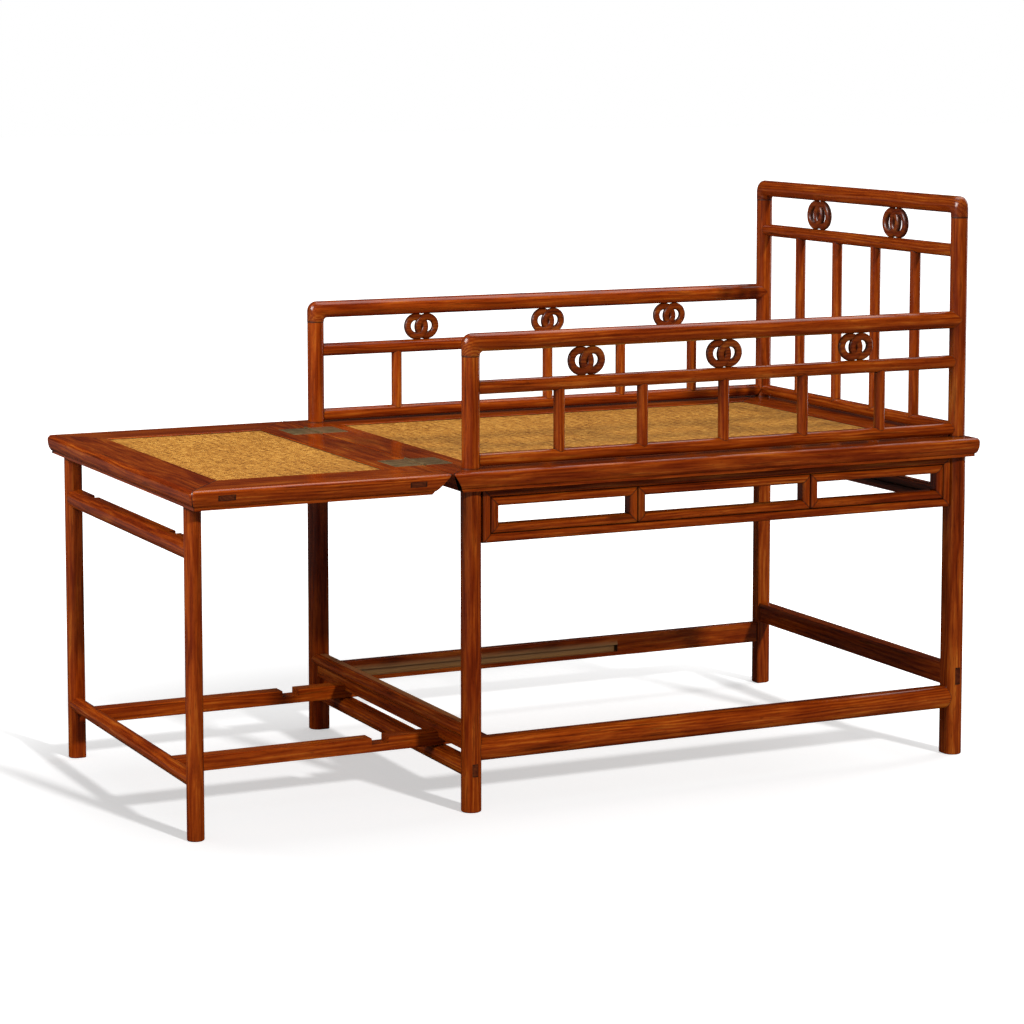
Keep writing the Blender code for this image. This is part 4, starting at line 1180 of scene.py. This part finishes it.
def build_boards():
    rest_widths = dict(RAIL_WIDTHS, back=RAIL_WIDTHS["front"])
    build_frame("seat", HINGE_X, SEAT_BACK_X, RAIL_WIDTHS, {"front": SEAT_BEVEL, "back": None})
    build_frame("rest", REST_FRONT_X, HINGE_X, rest_widths, {"front": None, "back": REST_BEVEL})
    for part in ("seat_mat", "rest_mat"):
        build_mat(part)
    for part in ("seat_brace_1", "seat_brace_2", "rest_brace"):
        middle, half = placed(part)
        piece(part, spanning(half.y, eased_box(half.x, half.z, BRACE_EASE), "Y", middle))
    build_rest_tenons()


# Leg stand


TOP_RAIL_BULGE = 0.009
TOP_RAIL_STEP = 0.002
REST_NOTCH_DEPTH = 0.007
REST_NOTCH_WIDTH = 0.024
REST_NOTCH_INSET = 0.065
RUNNER_NOTCH_REACH = 0.0995
RUNNER_NOTCH_LENGTH = 0.027
RUNNER_NOTCH_DEPTH = 0.0095
TONGUE_LENGTH = 0.007
TONGUE_HEIGHT = 0.0108


def build_stand_rails():
    """The stand's bowed top rail, whose back edge drops at two notches, and its round low rail."""
    half = half_size("stand_top_rail")
    section = densified(bowed_section(2 * half.x, 2 * half.z, TOP_RAIL_BULGE) * (-1, 1), TOP_RAIL_STEP)
    cut = section.copy()
    behind = (section[:, 0] > 0) & (section[:, 1] > half.z - REST_NOTCH_DEPTH)
    cut[behind, 1] = half.z - REST_NOTCH_DEPTH
    outer = STAND_Y - STAND_RADIUS - REST_NOTCH_INSET
    inner = outer - REST_NOTCH_WIDTH
    notched = {"cut": cut, "notches": ((-outer, -inner), (inner, outer))}
    between_legs("stand_top_rail", section, 1, STAND_Y, STAND_RADIUS, **notched)
    between_legs("stand_low_rail", circle(half_size("stand_low_rail").z), 1, STAND_Y, STAND_RADIUS)


def build_runner(side):
    """A runner hollowed to the low rail at one end. At its notch the section's top comes down."""
    part = f"{side}_runner"
    middle, half = placed(part)
    rail, rail_radius = centre("stand_low_rail"), half_size("stand_low_rail").z
    section = eased_box(half.y, half.z, EASE)
    cut = columns(section[:, 0], np.minimum(section[:, 1], half.z - RUNNER_NOTCH_DEPTH))
    start = rail.x + saddle(section[:, 1] + middle.z - rail.z, rail_radius + SEAM)
    notch = FRONT_X - RUNNER_NOTCH_REACH
    near, far = notch - RUNNER_NOTCH_LENGTH / 2, notch + RUNNER_NOTCH_LENGTH / 2
    rows = [(start, section), (near, section), (near, cut), (far, cut), (far, section)]
    rows.append((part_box(part)[1].x, section))
    piece(part, member(rows, "X", (0, middle.y, middle.z)))


def build_crossbar():
    """The bar behind the front stretchers: its section narrows in height to a tongue at each end."""
    middle, half = placed("runner_crossbar")
    section = eased_box(half.x, half.z, EASE)
    tongue = section * (1, TONGUE_HEIGHT / 2 / half.z)
    shoulder = half.y - TONGUE_LENGTH
    piece("runner_crossbar", spanning(half.y, tongue, "Y", middle, section, [(-shoulder, shoulder)]))


def build_stand():
    for side, sign in SIDES.items():
        build_leg(f"stand_{side}_leg", STAND_RADIUS, (1, -sign), False)
        build_runner(side)
    build_stand_rails()
    build_crossbar()


# Hinges


LEAF_THICK = 0.002
LEAF_CORNER = 0.003
LEAF_NEAR_CORNER = 0.0005
LEAF_PROUD = 0.0001
LEAF_EASE = 0.0006  # how far its upper edge is eased inward
LEAF_EASE_DROP = 0.0002
KNUCKLE_REACH = 0.0032
KNUCKLE_RADIUS = 0.0024
KNUCKLE_GAP = 0.0005
TAB_EASE = 0.0002
PIN_RADIUS = 0.0013


def build_hinge(side):
    """Two flush leaves with eased edges, their knuckles and tabs, and a pin through them."""
    for leaf, direction, places in (("seat", 1, (-1, 1)), ("rest", -1, (0,))):
        part = f"{side}_hinge_{leaf}_leaf"
        low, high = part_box(part)
        half_y = (high.y - low.y) / 2
        at = (HINGE_X, (low.y + high.y) / 2, SEAT_TOP)
        near, far = direction * KNUCKLE_REACH, (high.x if direction > 0 else low.x) - HINGE_X
        corners = [(near, -half_y), (far, -half_y), (far, half_y), (near, half_y)]
        outline = filleted(corners, [LEAF_NEAR_CORNER, LEAF_CORNER, LEAF_CORNER, LEAF_NEAR_CORNER])
        middle = outline.mean(axis=0)
        eased = middle + (outline - middle) * (1 - LEAF_EASE / half_y)
        rows = [(-LEAF_THICK, outline), (LEAF_PROUD - LEAF_EASE_DROP, outline), (LEAF_PROUD, eased)]
        shells = [solid(carried(rows, "Z", at), "Y")]
        tab_reach = 2 * near
        corners = [(0, -LEAF_THICK), (tab_reach, -LEAF_THICK), (tab_reach, -SEAM), (0, -SEAM)]
        third = 2 * half_y / 3
        reach = (third - KNUCKLE_GAP) / 2
        for place in places:
            for section in (circle(KNUCKLE_RADIUS, 24), filleted(corners, TAB_EASE, 2)):
                rows = [(place * third - reach, section), (place * third + reach, section)]
                shells.append(solid(carried(rows, "Y", at), "Y"))
        piece(part, *shells)
    part = f"{side}_hinge_pin"
    rows = [(corner.y, circle(PIN_RADIUS, 24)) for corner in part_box(part)]
    piece(part, solid(carried(rows, "Y", (HINGE_X, 0, SEAT_TOP)), "Y"))


# Stage


FLOOR_REACH = 30.0
FLOOR_LIFT = 0.50
LIFT_SLOPE = 1.9
LIFT_START = 1.27 / LIFT_SLOPE  # how far from the chair the floor starts to glow more
SEEN_FLOOR = 0.80
LIT_FLOOR = 0.54
REFLECTED_FLOOR = 0.02
REFLECTED_LEFT = 0.16
ROOM_LIGHT = 0.20
REFLECTED_ROOM = 0.015
WHITE = (1, 1, 1, 1)
KEY_FROM = (1.0, -4.1, 2.2)
KEY_STRENGTH = 2.65
KEY_ANGLE = math.radians(4)


def ray_kinds(tree):
    """Marks of the rays that see as the camera does, and of those that see in the polish."""
    rays = node(tree, "LightPath").outputs
    seen = Value(rays["Is Camera Ray"]).maths("MAXIMUM", rays["Is Transmission Ray"])
    return seen, Value(rays["Is Glossy Ray"])


def build_floor():
    """A pale floor, which to the camera glows more with the distance from the chair, until it is white.

    In the polish it is darker, as the room is, but for a paler part on the left.
    """
    mesh = bpy.data.meshes.new("floor")
    corners = np.array([(-1, -1, 0), (1, -1, 0), (1, 1, 0), (-1, 1, 0)]) * FLOOR_REACH
    mesh.from_pydata(corners.tolist(), [], [(0, 1, 2, 3)])
    floor = add_to_scene("floor", mesh)
    finish, tree, shader = new_finish("pale_floor")
    mesh.materials.append(finish)
    seen, glossy = ray_kinds(tree)
    place = node(tree, "TexCoord").outputs["Object"]
    far = length(place).above(LIFT_START, LIFT_SLOPE)
    left = Value(node(tree, "SeparateXYZ", {0: place}).outputs["X"]).above(-0.5, -1.0)
    reflected = left.mixed(REFLECTED_FLOOR, REFLECTED_LEFT)
    feed(shader, {
        "Base Color": seen.mixed(glossy.mixed(LIT_FLOOR, reflected), SEEN_FLOOR),
        "Roughness": 1.0,
        "Specular IOR Level": 0.0,
        "Emission Color": WHITE,
        "Emission Strength": seen * far.mixed(FLOOR_LIFT, 1.0),
    })
    return floor


def build_world():
    """White to the camera, a soft grey room for the light, and a darker one in the polish."""
    world = bpy.data.worlds.new("studio")
    bpy.context.scene.world = world
    world.use_nodes = True
    seen, glossy = ray_kinds(world.node_tree)
    strength = seen.mixed(glossy.mixed(ROOM_LIGHT, REFLECTED_ROOM), 1.0)
    feed(world.node_tree.nodes["Background"], {"Color": WHITE, "Strength": strength})


def add_lamp(name, kind, way, power):
    """A lamp that shines along a way."""
    lamp = bpy.data.lights.new(name, kind)
    lamp.energy = power
    made = add_to_scene(name, lamp)
    made.rotation_euler = Vector(way).to_track_quat("-Z", "Y").to_euler()
    return made


def add_softbox(name, at, aim, size, power):
    box = add_lamp(name, "AREA", Vector(aim) - Vector(at), power)
    box.location = at
    box.data.shape = "RECTANGLE"
    box.data.size, box.data.size_y = size
    return box


def build_lights(floor):
    """A broad, low sun from the front right, and softboxes for the tops, the left sides and the right ends.

    The polish does not mirror the sun, and the left softbox does not light the floor, so that it keeps the
    shadows of the sun.
    """
    key = add_lamp("key_light", "SUN", -Vector(KEY_FROM), KEY_STRENGTH)
    key.data.angle = KEY_ANGLE
    key.visible_glossy = False
    add_softbox("top_softbox", (1.1, 0.4, 2.6), (0.9, 0.4, 0.4), (1.6, 2.8), 30)
    fill = add_softbox("left_softbox", (-2.4, -0.4, 2.1), (-0.4, 0.0, 0.4), (1.4, 1.4), 98)
    unlit = bpy.data.collections.new("unlit_by_" + fill.name)
    unlit.objects.link(floor)
    unlit.collection_objects[0].light_linking.link_state = "EXCLUDE"
    fill.light_linking.receiver_collection = unlit
    add_softbox("right_softbox", (3.0, 0.3, 1.1), (0.3, 0.0, 0.5), (0.5, 2.2), 10)


def build_camera():
    lens = bpy.data.cameras.new("photo_camera")
    lens.sensor_width = SENSOR
    lens.lens = FOCAL_PIXELS / IMAGE * SENSOR
    lens.shift_y = CAMERA_SHIFT
    camera = add_to_scene("photo_camera", lens)
    camera.location = CAMERA_FROM_FRONT_LEGS + Vector((FRONT_X, 0, 0))
    camera.rotation_euler = (math.pi / 2 - CAMERA_PITCH, 0, -CAMERA_YAW)
    bpy.context.scene.camera = camera


def main():
    build_camera()
    for end, inward in (("front", 1), ("back", -1)):
        for side, sign in SIDES.items():
            build_leg(f"{end}_{side}_leg", LEG_RADIUS, (inward, -sign), True)
    build_leg_tenons()
    for side in SIDES:
        build_arm(side)
        build_side_stretcher(side)
        build_hinge(side)
    build_back()
    build_aprons()
    build_back_stretcher()
    build_front_stretchers()
    build_boards()
    build_stand()
    build_world()
    build_lights(build_floor())
    bpy.context.scene.view_settings.view_transform = "Standard"


main()
